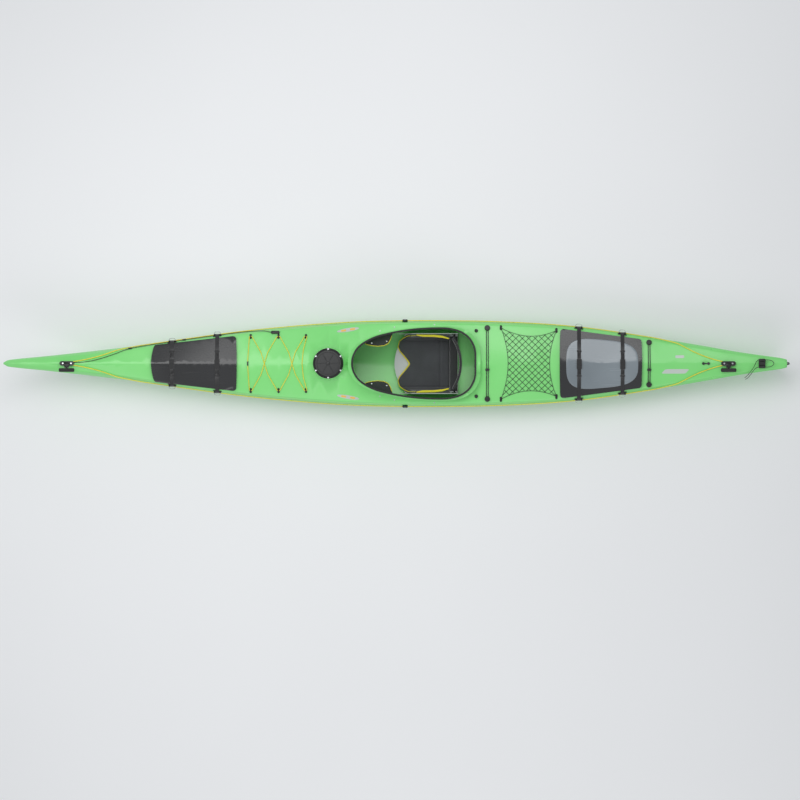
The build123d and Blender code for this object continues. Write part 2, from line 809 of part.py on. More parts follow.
with BuildPart() as day_hatch_lid:
    with Locations((day_hatch_x, 0, lid_z)):
        Cylinder(day_lid_radius, day_lid_height, align=(Align.CENTER, Align.CENTER, Align.MIN))
    fillet(day_hatch_lid.faces().sort_by(Axis.Z)[-1].edges(), 3)
    with Locations((day_hatch_x, 0, lid_z - 1)):
        Cylinder(
            day_lid_radius - day_lid_wall,
            day_lid_height - day_lid_wall + 1,
            align=(Align.CENTER, Align.CENTER, Align.MIN),
            mode=Mode.SUBTRACT,
        )
    with Locations((day_hatch_x, 0, lid_z)):
        with PolarLocations(day_lid_radius, 36):
            Cylinder(1.6, 60, mode=Mode.SUBTRACT)
write(day_hatch_lid.part, "day_hatch_lid")

# =========================================================================================
# Bulkheads
# =========================================================================================

front_bulkhead_x = -1030.0
rear_bulkhead_x = 620.0
bulkhead_thickness = 10.0
bulkhead_gap = 0.7
for name, x in (("front_bulkhead", front_bulkhead_x), ("rear_bulkhead", rear_bulkhead_x)):
    faces = [section_face(x + s, -hull_wall - bulkhead_gap) for s in (0, bulkhead_thickness)]
    with BuildPart() as bulkhead:
        loft(faces, ruled=True)
        with BuildSketch(Plane.XY.offset(hull_wall + bulkhead_gap)):
            with Locations((x, 0)):
                Rectangle(100, 2 * beam)
        extrude(amount=hull_depth, mode=Mode.INTERSECT)
    write(bulkhead.part, name)

# =========================================================================================
# Deck lines, lacing, towline and bungees
# =========================================================================================


def skin_point(x, side, share, out):
    """Point out from the skin; share runs sheer 0, shoulder 1, ridge 2."""
    _, _, sheer, shoulder, ridge = half_section(x)
    normals = []
    for low, high in ((sheer, shoulder), (shoulder, ridge)):
        length = math.dist(low, high)
        normals.append(((high[1] - low[1]) / length, (low[0] - high[0]) / length))
    if share <= 1:
        y = sheer[0] + (shoulder[0] - sheer[0]) * share
        z = sheer[1] + (shoulder[1] - sheer[1]) * share
    else:
        y = shoulder[0] + (ridge[0] - shoulder[0]) * (share - 1)
        z = shoulder[1] + (ridge[1] - shoulder[1]) * (share - 1)
    blend = min(max((share - 0.85) / 0.3, 0), 1)
    ny = normals[0][0] * (1 - blend) + normals[1][0] * blend
    nz = normals[0][1] * (1 - blend) + normals[1][1] * blend
    size = math.hypot(ny, nz)
    return Vector(x, side * (y + ny / size * out), z + nz / size * out)


base_length = 97.0
base_width = 30.0
base_height = 11.0
bow_base_x = -2176.0
stern_base_x = 2184.0
line_share = fair(
    [(-2140, 1.86), (-2090, 1.72), (-1900, 1.12), (-1800, 0.75), (-1700, 0.40), (1700, 0.40),
     (1800, 0.75), (1900, 1.12), (2100, 1.74), (2148, 1.86)]
)  # fmt: skip
line_xs = [-2142, -2124, -2100, -2060, -2000, -1950, -1900, -1850, -1800, -1750, -1700]
line_xs += [-1600 + 100 * k for k in range(33)]
line_xs += [1700, 1750, 1800, 1850, 1900, 1950, 2000, 2060, 2108, 2132, 2150]


def deck_line_route(side):
    """Corners of one deck line from bow to stern."""
    return [skin_point(x, side, line_share(x), deck_line_offset) for x in line_xs]


print("deck lines")
with BuildPart() as deck_lines:
    for side in SIDES.values():
        add(cord_tube(deck_line_route(side), deck_line_diameter))
write(deck_lines.part, "deck_lines")

eyelet_xs = (-969.0, -785.0, -604.0)
eyelet_y = 178.0
net_eyelets = ((683.0, 236.0), (1050.0, 218.0))
eyelet_lift = 6.0


def over_deck(x, y, lift):
    """Point above the deck at (x, y)."""
    return deck_seat(x, y, lift).origin


def lacing_route():
    """Corners of the lacing, crossing itself twice on the ridge."""
    front, middle, rear = eyelet_xs
    lift = eyelet_lift
    low, high = lift - 2.0, lift + 4.6
    sleeve = over_deck(front - 18, 0, low + 0.6)
    route = [
        (front - 14, 90, low + 1), (front - 8, eyelet_y, lift), (front + 8, eyelet_y, lift),
        (0.62 * front + 0.38 * middle, 70, low + 1), (front / 2 + middle / 2, 0, low),
        (0.38 * front + 0.62 * middle, -70, low + 1),
        (middle - 8, -eyelet_y, lift), (middle + 8, -eyelet_y, lift),
        (0.62 * middle + 0.38 * rear, -70, high - 1), (middle / 2 + rear / 2, 0, high),
        (0.38 * middle + 0.62 * rear, 70, high - 1),
        (rear - 8, eyelet_y, lift), (rear + 8, eyelet_y, lift),
        (rear - 16, 90, low + 1), (rear - 24, 0, low), (rear - 16, -90, low + 1),
        (rear + 8, -eyelet_y, lift), (rear - 8, -eyelet_y, lift),
        (0.62 * rear + 0.38 * middle, -70, low + 1), (middle / 2 + rear / 2, 0, low),
        (0.38 * rear + 0.62 * middle, 70, low + 1),
        (middle + 8, eyelet_y, lift), (middle - 8, eyelet_y, lift),
        (0.62 * middle + 0.38 * front, 70, high - 1), (front / 2 + middle / 2, 0, high),
        (0.38 * middle + 0.62 * front, -70, high - 1),
        (front + 8, -eyelet_y, lift), (front - 8, -eyelet_y, lift), (front - 14, -90, low + 1),
    ]  # fmt: skip
    laid = [over_deck(x, y, rise) for x, y, rise in route]
    return [sleeve + (0, 1, 0), sleeve + (0, 16, 0), *laid, sleeve - (0, 16, 0), sleeve - (0, 1, 0)]


print("lacing")
lacing_radii = [min(r, 30.0) for r in cord_radii(lacing_route())]
with BuildPart() as foredeck_lacing:
    add(cord_tube(lacing_route(), lacing_diameter, lacing_radii))
write(foredeck_lacing.part, "foredeck_lacing")

with BuildPart() as lacing_sleeve:
    with Locations(lacing_route()[0] - (0, 1, 0)):
        Cylinder(4.4, 28, rotation=(90, 0, 0))
        Cylinder(lacing_diameter / 2 + 0.3, 60, rotation=(90, 0, 0), mode=Mode.SUBTRACT)
write(lacing_sleeve.part, "lacing_sleeve")


def eyelet(x, y):
    """Low bridge standing on the deck."""
    seat = deck_seat(x, y, fitting_gap)
    with BuildPart() as bridge:
        with BuildSketch(seat):
            SlotOverall(34, 15, rotation=90)
        extrude(amount=2.4)
        with BuildSketch(seat):
            SlotOverall(22, 6.4, rotation=90)
        extrude(amount=11.5)
    return bridge.part


net_cord_diameter = 3.0
net_pitch = 62.0
net_bow = 46.0
ridge_rise = 3.2
(net_front_x, net_front_y), (net_rear_x, net_rear_y) = net_eyelets
net_middle_x = (net_front_x + net_rear_x) / 2
net_reach = (net_rear_x - net_front_x) / 2


def net_side_y(x):
    """Half breadth of the net's border at x."""
    across = (x - net_middle_x) / net_reach
    straight = (net_front_y + net_rear_y) / 2 + (net_rear_y - net_front_y) / 2 * across
    return straight - net_bow * (1 - across**2)


def net_end_x(y, front):
    """Place of the net's front or rear border at y."""
    corner_x, corner_y = net_eyelets[0 if front else 1]
    bow = net_bow * (1 - (y / corner_y) ** 2)
    return corner_x + bow if front else corner_x - bow


def net_border():
    """Corners of the border cord, from the middle of the front round to itself."""
    side_xs = [net_front_x + net_reach * k / 3 for k in range(1, 6)]
    end_shares = (0.66, 0.33, 0.0, -0.33, -0.66)
    lift = eyelet_lift
    points = []
    for side, xs in ((1, side_xs), (-1, side_xs[::-1])):
        first, last = net_eyelets if side > 0 else net_eyelets[::-1]
        step = 8 * side
        points += [(first[0] - step, side * first[1], lift)]
        points += [(first[0] + step, side * first[1], lift)]
        points += [(x, side * net_side_y(x), 2.4) for x in xs]
        points += [(last[0] - step, side * last[1], lift)]
        points += [(last[0] + step, side * last[1], lift)]
        if side > 0:
            points += [
                (net_end_x(s * net_rear_y, False), s * net_rear_y, 2.4 if s else 5.6)
                for s in end_shares
            ]
    front = [(net_end_x(s * net_front_y, True), s * net_front_y, 2.4) for s in (0.33, 0.66)]
    start = (net_end_x(0, True), 1, 2.4)
    finish = (net_end_x(0, True), -1, 2.4)
    back = [(x, -y, z) for x, y, z in reversed(front)]
    return [over_deck(*place) for place in [start, *front, *points, *back, finish]]


with BuildPart() as deck_eyelets:
    for side in SIDES.values():
        for x in eyelet_xs:
            add(eyelet(x, side * eyelet_y))
        for x, y in net_eyelets:
            add(eyelet(x, side * y))
    add(
        cord_tube(lacing_route(), lacing_diameter + 1.4, lacing_radii),
        mode=Mode.SUBTRACT,
    )
    add(cord_tube(net_border(), net_cord_diameter + 1.4), mode=Mode.SUBTRACT)
write(deck_eyelets.part, "deck_eyelets")

towline_share_at = fair(
    [(-2140, 1.965), (-2100, 1.94), (-2060, 1.88), (-2000, 1.72), (-1900, 1.36), (-1800, 1.02),
     (-1700, 0.62), (-1600, 0.53), (-1000, 0.53), (-900, 0.85), (-830, 1.07), (-785, 1.07)]
)  # fmt: skip
towline_lift_at = fair([(-2140, 6.5), (-2110, 6.5), (-2050, 4.0), (-900, 4.0), (-830, 8.3),
                        (-785, 8.3)])  # fmt: skip
towline_xs = [-2142, -2124, -2100, -2060, -2000, -1950, -1900, -1850, -1800, -1750, -1700]
towline_xs += [-1600, -1500, -1400, -1300, -1200, -1100, -1000, -940, -880, -830, -790]
towline_route = [skin_point(x, 1, towline_share_at(x), towline_lift_at(x)) for x in towline_xs]
with BuildPart() as towline:
    add(cord_tube(towline_route, towline_diameter))
write(towline.part, "towline")

cleat_x = -806.0
guide_xs = (-1765.0, -1409.0)
with BuildPart() as towline_fairleads:
    with BuildSketch(deck_seat(cleat_x, skin_point(cleat_x, 1, 1.07, 0).Y)):
        SlotOverall(58, 18)
    extrude(amount=14)
    for x in guide_xs:
        share = towline_share_at(x)
        along = skin_point(x + 6, 1, share, 0) - skin_point(x - 6, 1, share, 0)
        across = skin_point(x, 1, share + 0.05, 0) - skin_point(x, 1, share - 0.05, 0)
        foot = Plane(origin=skin_point(x, 1, share, 0), x_dir=along, z_dir=across.cross(along))
        with BuildSketch(foot.offset(fitting_gap)):
            SlotOverall(24, 9)
        extrude(amount=8.4)
    add(cord_tube(towline_route, towline_diameter + 1.2), mode=Mode.SUBTRACT)
write(towline_fairleads.part, "towline_fairleads")

bungee_eyes = {"paddle": (593.0, 234.0), "rear": (1662.0, 138.0)}
bungee_spread = 6.0
puck_radius = 18.0
puck_height = 14.0
puck_hole_lift = 6.2


def puck(seat):
    """Round deck fitting with a rounded top."""
    with BuildPart() as eye:
        with BuildSketch(seat):
            Circle(puck_radius)
        extrude(amount=puck_height)
        fillet(eye.faces().sort_by(Axis(seat.origin, seat.z_dir))[-1].edges(), 5)
    return eye.part


line_eye_x = 50.0
line_eye_seats = {}
for side in SIDES.values():
    foot = gunwale_point(line_eye_x, side, line_share(line_eye_x), seat_gap)
    line_eye_seats[side] = Plane(
        origin=foot, x_dir=(1, 0, 0), z_dir=gunwale_normal(line_eye_x, side)
    )


def bungee_route(x, y):
    """Corners of one straight run of bungee from eye to eye."""
    ends = y - 9.0
    lift = puck_hole_lift + seat_gap
    return [
        over_deck(x, -ends, lift), over_deck(x, -ends + 30, lift - 1.5),
        over_deck(x, -ends / 2, 4.6), over_deck(x, 0, 7.4), over_deck(x, ends / 2, 4.6),
        over_deck(x, ends - 30, lift - 1.5), over_deck(x, ends, lift),
    ]  # fmt: skip


print("bungees")
with BuildPart() as deck_bungees:
    for x, y in bungee_eyes.values():
        for spread in (-bungee_spread, bungee_spread):
            add(cord_tube(bungee_route(x + spread, y), bungee_diameter))
write(deck_bungees.part, "deck_bungees")

with BuildPart() as line_eyes:
    for side, seat in line_eye_seats.items():
        add(puck(seat))
        with Locations(seat.offset(deck_line_offset - seat_gap)):
            Cylinder(deck_line_diameter / 2 + 0.8, 60, rotation=(0, 90, 0), mode=Mode.SUBTRACT)
        add(screw_hole(seat.offset(puck_height + 0.3)), mode=Mode.SUBTRACT)
    for x, y in bungee_eyes.values():
        for side in SIDES.values():
            add(puck(deck_seat(x, side * y, fitting_gap + 0.2)))
        for spread in (-bungee_spread, bungee_spread):
            route = bungee_route(x + spread, y)
            add(cord_tube(route, bungee_diameter + 1.4), mode=Mode.SUBTRACT)
write(line_eyes.part, "line_eyes")

with BuildPart() as cord_locks:
    for x, y in bungee_eyes.values():
        seat = deck_seat(x, -40.0, 0.6)
        with BuildSketch(seat):
            RectangleRounded(27, 15, 5)
        extrude(amount=9.5)
        for spread in (-bungee_spread, bungee_spread):
            route = bungee_route(x + spread, y)
            add(cord_tube(route, bungee_diameter + 1.0), mode=Mode.SUBTRACT)
write(cord_locks.part, "cord_locks")

# =========================================================================================
# Cargo net, hooks and small deck fittings
# =========================================================================================

print("cargo net")
def net_diagonal(start_y, slope, lift):
    """Corners of one slanting cord of the net, inside its border."""
    inside = []
    x = net_front_x
    while x < net_rear_x:
        y = start_y + slope * (x - net_middle_x)
        far_in = net_end_x(y, True) + 4 < x < net_end_x(y, False) - 4
        if far_in and abs(y) < net_side_y(x) - 4:
            inside.append((x, y))
        x += 3
    if len(inside) < 12:
        return None
    last = len(inside) - 1
    ridge = min(range(len(inside)), key=lambda k: abs(inside[k][1]))
    over_ridge = 0 < ridge < last
    stops = [0, ridge, last] if over_ridge else [0, last]
    picked = []
    for start, stop in zip(stops, stops[1:]):
        pieces = max(1, round((stop - start) / 18))
        picked += [start + round(k * (stop - start) / pieces) for k in range(pieces)]
    picked.append(last)
    if len(picked) == 2:
        picked.insert(1, last // 2)
    rises = [ridge_rise if over_ridge and k == ridge else 0 for k in picked]
    return [over_deck(*inside[k], lift + rise) for k, rise in zip(picked, rises)]


with BuildPart() as cargo_net:
    add(cord_tube(net_border(), net_cord_diameter))
    for k in range(-8, 9):
        for slope, lift in ((1.0, 2.3), (-1.0, 5.5)):
            route = net_diagonal(k * net_pitch + 1, slope, lift)
            if route:
                add(cord_tube(route, net_cord_diameter))
write(cargo_net.part, "cargo_net")

hook_x, hook_y = 520.0, 216.0
with BuildPart() as coaming_hooks:
    for side in SIDES.values():
        for radius, low, high in ((11.5, 0, 4), (6, 3, 12), (9.5, 11, 14)):
            with BuildSketch(deck_seat(hook_x, side * hook_y).offset(low)):
                Circle(radius)
            extrude(amount=high - low)
write(coaming_hooks.part, "coaming_hooks")

deck_eye_x = 2036.0
with BuildPart() as deck_eye:
    with BuildSketch(ridge_seat(deck_eye_x)):
        with Locations((-17, 0), (17, 0)):
            Circle(9)
        Rectangle(34, 7)
    extrude(amount=7)
    with BuildSketch(ridge_seat(deck_eye_x, -12)):
        with Locations((-17, 0), (17, 0)):
            Circle(9)
        Rectangle(34, 7)
    extrude(amount=13)
    with Locations(ridge_seat(deck_eye_x, 3.2)):
        Cylinder(2.4, 40, rotation=(90, 0, 0), mode=Mode.SUBTRACT)
    add(clear_form, mode=Mode.SUBTRACT, clean=False)
write(deck_eye.part, "deck_eye")

exit_x = 2076.0
with BuildPart() as cable_exits:
    for side in SIDES.values():
        nose = gunwale_point(exit_x, side, 0.75, 1.0)
        tail = gunwale_point(exit_x + 90, side, 0.75, -3.0)
        with BuildSketch(Plane(origin=nose, z_dir=tail - nose)):
            Circle(9)
        with BuildSketch(Plane(origin=tail, z_dir=tail - nose)):
            Circle(4)
        loft()
    add(clear_form, mode=Mode.SUBTRACT, clean=False)
write(cable_exits.part, "cable_exits")

# =========================================================================================
# Carrying handles
# =========================================================================================

toggle_length = 103.0
toggle_diameter = 25.0
toggle_drop_y = 44.0
toggle_lean_deg = 24.0
pin_y = -22.5
pin_lift = 19.3
pin_radius = 2.5
handle_xs = {"bow": bow_base_x, "stern": stern_base_x}


def handle_pin(x):
    """Centre of the handle's hinge pin."""
    return Vector(x, pin_y, ridge_line(x / half_length) * hull_depth + pin_lift)


print("handles")
handle_screws = [
    ridge_seat(x).offset(base_height + 0.3).shift_origin(
        ridge_seat(x).offset(base_height + 0.3).from_local_coords((along, 0, 0))
    )
    for x in handle_xs.values()
    for along in (-27, 27)
]
with BuildPart() as handle_bases:
    for x in handle_xs.values():
        with BuildSketch(ridge_seat(x, -14)):
            SlotOverall(base_length, base_width)
        extrude(amount=14 + base_height)
        pin = handle_pin(x)
        with Locations(pin + Vector(-12, 2, -5), pin + Vector(12, 2, -5)):
            Box(6, 16, 20)
        with Locations(pin):
            Cylinder(pin_radius, 30, rotation=(0, 90, 0))
    add(clear_form, mode=Mode.SUBTRACT, clean=False)
    for side in SIDES.values():
        route = deck_line_route(side)
        add(cord_tube(route[:5], deck_line_diameter + 1.4), mode=Mode.SUBTRACT)
        add(cord_tube(route[-5:], deck_line_diameter + 1.4), mode=Mode.SUBTRACT)
    add(cord_tube(towline_route[:4], towline_diameter + 1.0), mode=Mode.SUBTRACT)
    for seat in handle_screws:
        add(screw_hole(seat), mode=Mode.SUBTRACT)
write(handle_bases.part, "handle_bases")

for name, x in handle_xs.items():
    lean = -toggle_lean_deg if x < 0 else toggle_lean_deg
    pin = handle_pin(x)
    centre = Vector(x, -toggle_drop_y, pin.Z + 1)
    with BuildPart() as toggle:
        with Locations(pin):
            Cylinder(6.5, 17, rotation=(0, 90, 0))
        with BuildSketch(Plane(origin=pin + Vector(0, -4, 0), z_dir=centre - pin)):
            RectangleRounded(14, 9, 3)
        extrude(amount=(centre - pin).length - 6)
        with Locations(Location(centre, (0, 90 - lean, 0))):
            Cylinder(toggle_diameter / 2, toggle_length)
        fillet(toggle.edges().filter_by(GeomType.CIRCLE).group_by(SortBy.RADIUS)[-1], 4)
        with Locations(pin):
            Cylinder(pin_radius + running_gap, 40, rotation=(0, 90, 0), mode=Mode.SUBTRACT)
    write(toggle.part, f"{name}_toggle")

# =========================================================================================
# Rudder rest with its cord, and the stern bracket
# =========================================================================================

rest_x = 2404.0
rest_length = 43.0
rest_width = 62.0
rest_top_z = ridge_line(rest_x / half_length) * hull_depth + 34
rest_cord_z = rest_top_z - 14
with BuildPart() as rudder_rest:
    with Locations((rest_x, 0, rest_top_z)):
        Box(rest_length, rest_width, 90, align=(Align.CENTER, Align.CENTER, Align.MAX))
    fillet(rudder_rest.edges().filter_by(Axis.Z), 6)
    with BuildSketch(section_plane(rest_x)):
        with Locations((0, rest_top_z + 4)):
            Circle(17)
    extrude(amount=60, both=True, mode=Mode.SUBTRACT)
    with Locations((rest_x, -24, rest_cord_z - 2), (rest_x, 24, rest_cord_z - 2)):
        Cylinder(rest_cord_diameter / 2 + 0.8, 80, rotation=(0, 90, 0), mode=Mode.SUBTRACT)
    add(clear_form, mode=Mode.SUBTRACT, clean=False)
write(rudder_rest.part, "rudder_rest")

knot = Vector(2362.0, -20.0, rest_cord_z - 2)
cord_y, cord_z = 24.0, rest_cord_z - 2
rest_route = [
    Vector(2300, -104, 214), Vector(2310, -98, 240), Vector(2326, -80, 262),
    Vector(2346, -48, knot.Z), Vector(2362, -30, cord_z), Vector(2380, -24, cord_z),
    Vector(2430, -24, cord_z), Vector(2452, -23, cord_z + 1), Vector(2474, -16, cord_z + 2),
    Vector(2484, 0, cord_z + 3), Vector(2474, 16, cord_z + 2), Vector(2452, 23, cord_z + 1),
    Vector(2430, 24, cord_z), Vector(2380, 24, cord_z), Vector(2366, 14, cord_z + 1),
    Vector(2358, -8, cord_z + 1), Vector(2344, -34, knot.Z - 1), Vector(2322, -64, 262),
    Vector(2304, -86, 236), Vector(2296, -94, 204),
]  # fmt: skip
with BuildPart() as rest_cord:
    add(cord_tube(rest_route, rest_cord_diameter))
write(rest_cord.part, "rest_cord")

bracket_bore_x = 2581.0
bracket_bore_radius = 4.0
with BuildPart() as pintle_bracket:
    with Locations((stern_x + seat_gap, 0, 203)):
        Box(4, 26, 66, align=(Align.MIN, Align.CENTER, Align.CENTER))
    with Locations((bracket_bore_x, 0, 222), (bracket_bore_x, 0, 184)):
        Cylinder(9, 18)
        with Locations((-6, 0, 0)):
            Box(9, 12, 18)
    with Locations((bracket_bore_x, 0, 203)):
        Cylinder(bracket_bore_radius, 90, mode=Mode.SUBTRACT)
write(pintle_bracket.part, "pintle_bracket")

# =========================================================================================
# Seat, backrest and thigh braces
# =========================================================================================

pan_front_x, pan_rear_x = -20.0, 400.0
pan_half_width = 200.0
pan_wall = 4.0
pan_floor_z = 52.0
pan_side_z = 216.0
pan_corner = 55.0


def seat_channel(front, rear, half_width, floor, side, wall, corner):
    """Channel open at the top: a floor with two upright sides."""
    with BuildPart() as channel:
        with BuildSketch(section_plane(front)):
            with BuildLine():
                FilletPolyline(
                    (-half_width, side), (-half_width, floor), (half_width, floor),
                    (half_width, side), radius=corner,
                )  # fmt: skip
                Line((half_width, side), (half_width - wall, side))
                FilletPolyline(
                    (half_width - wall, side), (half_width - wall, floor + wall),
                    (wall - half_width, floor + wall), (wall - half_width, side),
                    radius=corner - wall,
                )  # fmt: skip
                Line((-half_width, side), (wall - half_width, side))
            make_face()
        extrude(amount=rear - front)
    return channel.part


print("seat")
pivot_x, pivot_z = 372.0, 120.0
pan_ribs = []
for x in (50.0, 320.0):
    with BuildPart() as rib:
        loft([section_face(x + s, -hull_wall - bulkhead_gap) for s in (0, 10)], ruled=True)
        with Locations((x + 5, 0, hull_wall + bulkhead_gap)):
            Box(
                20, 300, pan_floor_z + 2 - hull_wall - bulkhead_gap,
                align=(Align.CENTER, Align.CENTER, Align.MIN), mode=Mode.INTERSECT,
            )  # fmt: skip
    pan_ribs.append(rib.part)
pivot_radius = 5.0
with BuildPart() as seat_pan:
    add(
        seat_channel(
            pan_front_x, pan_rear_x, pan_half_width, pan_floor_z, pan_side_z, pan_wall, pan_corner
        )
    )
    with BuildSketch(Plane.XZ):
        with BuildLine():
            Polyline(
                (pan_front_x - 5, 110), (pan_front_x - 5, 300), (140, 300), (90, 214), (60, 130),
                close=True,
            )  # fmt: skip
        make_face()
    extrude(amount=400, both=True, mode=Mode.SUBTRACT)
    for side in SIDES.values():
        with Locations((pivot_x, side * (pan_half_width - pan_wall - 3), pivot_z)):
            Cylinder(pivot_radius, 10, rotation=(90, 0, 0))
    for rib in pan_ribs:
        add(rib)
write(seat_pan.part, "seat_pan")

cushion_gap = 0.6
with BuildPart() as seat_cushion:
    add(
        seat_channel(
            0.0, 340.0, pan_half_width - pan_wall - cushion_gap,
            pan_floor_z + pan_wall + cushion_gap, pan_side_z - 8, 24.0,
            pan_corner - pan_wall - cushion_gap,
        )  # fmt: skip
    )
    with BuildSketch(Plane.XZ):
        with BuildLine():
            Polyline((-5, 100), (-5, 300), (150, 300), (110, 206), (80, 110), close=True)
        make_face()
    extrude(amount=400, both=True, mode=Mode.SUBTRACT)
    with BuildSketch(Plane.XY):
        with BuildLine():
            Polyline((-10, -64), (-10, 64), (82, 12), (82, -12), close=True)
        make_face()
    extrude(amount=200, mode=Mode.SUBTRACT)
write(seat_cushion.part, "seat_cushion")

rest_low_z, rest_high_z = 168.0, 288.0
back_half_width = 172.0
back_bulge = 54.0
back_edge_x = 366.0
shell_thickness = 5.0
pad_thickness = 13.0
arm_thickness = 5.0


def back_band(inner, outer, low, high, half_width):
    """Upright band curved aft in plan."""
    with BuildPart() as band:
        with BuildSketch(Plane.XY.offset(low)):
            with BuildLine():
                near = ThreePointArc(
                    (back_edge_x + inner, -half_width),
                    (back_edge_x + back_bulge + inner, 0),
                    (back_edge_x + inner, half_width),
                )
                far = ThreePointArc(
                    (back_edge_x + outer, -half_width),
                    (back_edge_x + back_bulge + outer, 0),
                    (back_edge_x + outer, half_width),
                )
                Line(near @ 0, far @ 0)
                Line(near @ 1, far @ 1)
            make_face()
        extrude(amount=high - low)
    return band.part


arm_y = pan_half_width - pan_wall - 2.0 - arm_thickness / 2
with BuildPart() as backrest_shell:
    add(back_band(0, shell_thickness, rest_low_z, rest_high_z, back_half_width))
    for side in SIDES.values():
        with BuildSketch(Plane.XZ.offset(-side * arm_y)):
            with Locations((pivot_x, (pivot_z + rest_low_z + 40) / 2)):
                SlotOverall(rest_low_z + 40 - pivot_z + 30, 26, rotation=90)
        extrude(amount=arm_thickness / 2, both=True)
        with Locations((back_edge_x + 10, side * (arm_y - 11), rest_low_z + 22)):
            Box(12, 28, 30)
        with Locations((pivot_x, side * arm_y, pivot_z)):
            Cylinder(pivot_radius + running_gap, 20, rotation=(90, 0, 0), mode=Mode.SUBTRACT)
write(backrest_shell.part, "backrest_shell")

with BuildPart() as backrest_pad:
    add(back_band(-pad_thickness - 0.4, -0.4, rest_low_z - 6, rest_high_z + 6, back_half_width))
write(backrest_pad.part, "backrest_pad")

print("thigh braces")
brace_near, brace_far = -330.0, 60.0
brace_gap = 1.4
brace_low = hull_form(-hull_wall - brace_gap - 5.0, brace_near, brace_far)
brace_high = hull_form(-hull_wall - brace_gap, brace_near, brace_far)
brace_outline = [
    (-232, 150), (-206, 124), (-170, 116), (-130, 112), (-90, 116), (-61, 130), (-46, 156),
    (-36, 186), (-30, 214), (-110, 206), (-180, 190), (-224, 168),
]  # fmt: skip
brace_base_z = 215.0
with BuildPart() as thigh_braces:
    for side in SIDES.values():
        with BuildSketch(Plane.XY.offset(brace_base_z)):
            with BuildLine():
                Spline(*[(x, side * y) for x, y in brace_outline], periodic=True)
            make_face()
        extrude(amount=110)
    add(brace_high, mode=Mode.INTERSECT, clean=False)
    add(brace_low, mode=Mode.SUBTRACT, clean=False)
write(thigh_braces.part, "thigh_braces")

with BuildPart() as thigh_pads:
    add(thigh_braces.part.moved(Location((0, 0, -6.0))))
write(thigh_pads.part, "thigh_pads")

# =========================================================================================
# Footrests
# =========================================================================================

rail_inset = 22.0
rail_thickness = 10.0
rail_width = 28.0
rail_overhang = 26.0


def rail_plane():
    """Starboard rail: x along the rail, y up the hull's side, z towards the cockpit."""
    front, rear = bolt_seat(rail_front_x), bolt_seat(rail_rear_x)
    inward = (front.z_dir + rear.z_dir) * -0.5
    low, high = front.origin + inward * rail_inset, rear.origin + inward * rail_inset
    return Plane(origin=(low + high) / 2, x_dir=high - low, z_dir=inward)


print("footrests")
rail_seat = rail_plane()
rail_reach = (rail_rear_x - rail_front_x) / 2
with BuildPart() as starboard_rail:
    with BuildSketch(rail_seat):
        RectangleRounded(2 * (rail_reach + rail_overhang), rail_width, 8)
    extrude(amount=-rail_thickness / 2, both=True)
    with Locations(*[rail_seat * Pos(x, 0, 0) for x in (-rail_reach, 0, rail_reach)]):
        Cylinder(bolt_hole_radius + 0.9, 40, mode=Mode.SUBTRACT)
with BuildPart() as footrest_rails:
    add(starboard_rail.part)
    add(mirror(starboard_rail.part, about=Plane.XZ))
write(footrest_rails.part, "footrest_rails")

with BuildPart() as starboard_pedal:
    with BuildSketch(rail_seat):
        Rectangle(70, rail_width + 16)
    extrude(amount=rail_thickness / 2 + 7, both=True)
    with BuildSketch(rail_seat):
        Rectangle(90, rail_width + 1.2)
    extrude(amount=rail_thickness / 2 + 0.6, both=True, mode=Mode.SUBTRACT)
    with BuildSketch(rail_seat.offset(-20)):
        Rectangle(90, 15)
    extrude(amount=20, mode=Mode.SUBTRACT)
    with BuildSketch(rail_seat.offset(rail_thickness / 2 + 6)):
        with Locations((-30, 14)):
            Rectangle(9, 96)
        with Locations((-10, 0)):
            Rectangle(40, 8)
    extrude(amount=72)
write(starboard_pedal.part, "footrest_pedal_starboard")
write(mirror(starboard_pedal.part, about=Plane.XZ), "footrest_pedal_port")

with BuildPart() as starboard_bolts:
    for x in rail_bolt_xs:
        with Locations(bolt_seat(x)):
            with Locations((0, 0, seat_gap)):
                Cylinder(7, 3, align=(Align.CENTER, Align.CENTER, Align.MIN))
            with Locations((0, 0, 1)):
                Cylinder(
                    bolt_radius,
                    rail_inset + 1,
                    align=(Align.CENTER, Align.CENTER, Align.MAX),
                )
with BuildPart() as footrest_bolts:
    add(starboard_bolts.part)
    add(mirror(starboard_bolts.part, about=Plane.XZ))
write(footrest_bolts.part, "footrest_bolts")

# =========================================================================================
# Screws
# =========================================================================================

print("screws")
screw_seats = list(day_screws)
screw_seats += handle_screws
for seat in line_eye_seats.values():
    screw_seats.append(seat.offset(puck_height + 0.3))
with BuildPart() as deck_screws:
    for seat in screw_seats:
        add(screw(seat))
write(deck_screws.part, "deck_screws")
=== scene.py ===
# %% [markdown]
# # A touring sea kayak
# The boat is about five metres long, so nearly every fitting on it is tiny beside the hull.
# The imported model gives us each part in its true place. We keep those shapes, round their
# shading off, and then spend our effort on finishes and on the soft pieces: the seat, the
# backrest, the thigh pads and the loose cord at the stern.

# %% Load the frame
import json
import math

import bmesh
import bpy
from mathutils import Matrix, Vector
from mathutils.bvhtree import BVHTree


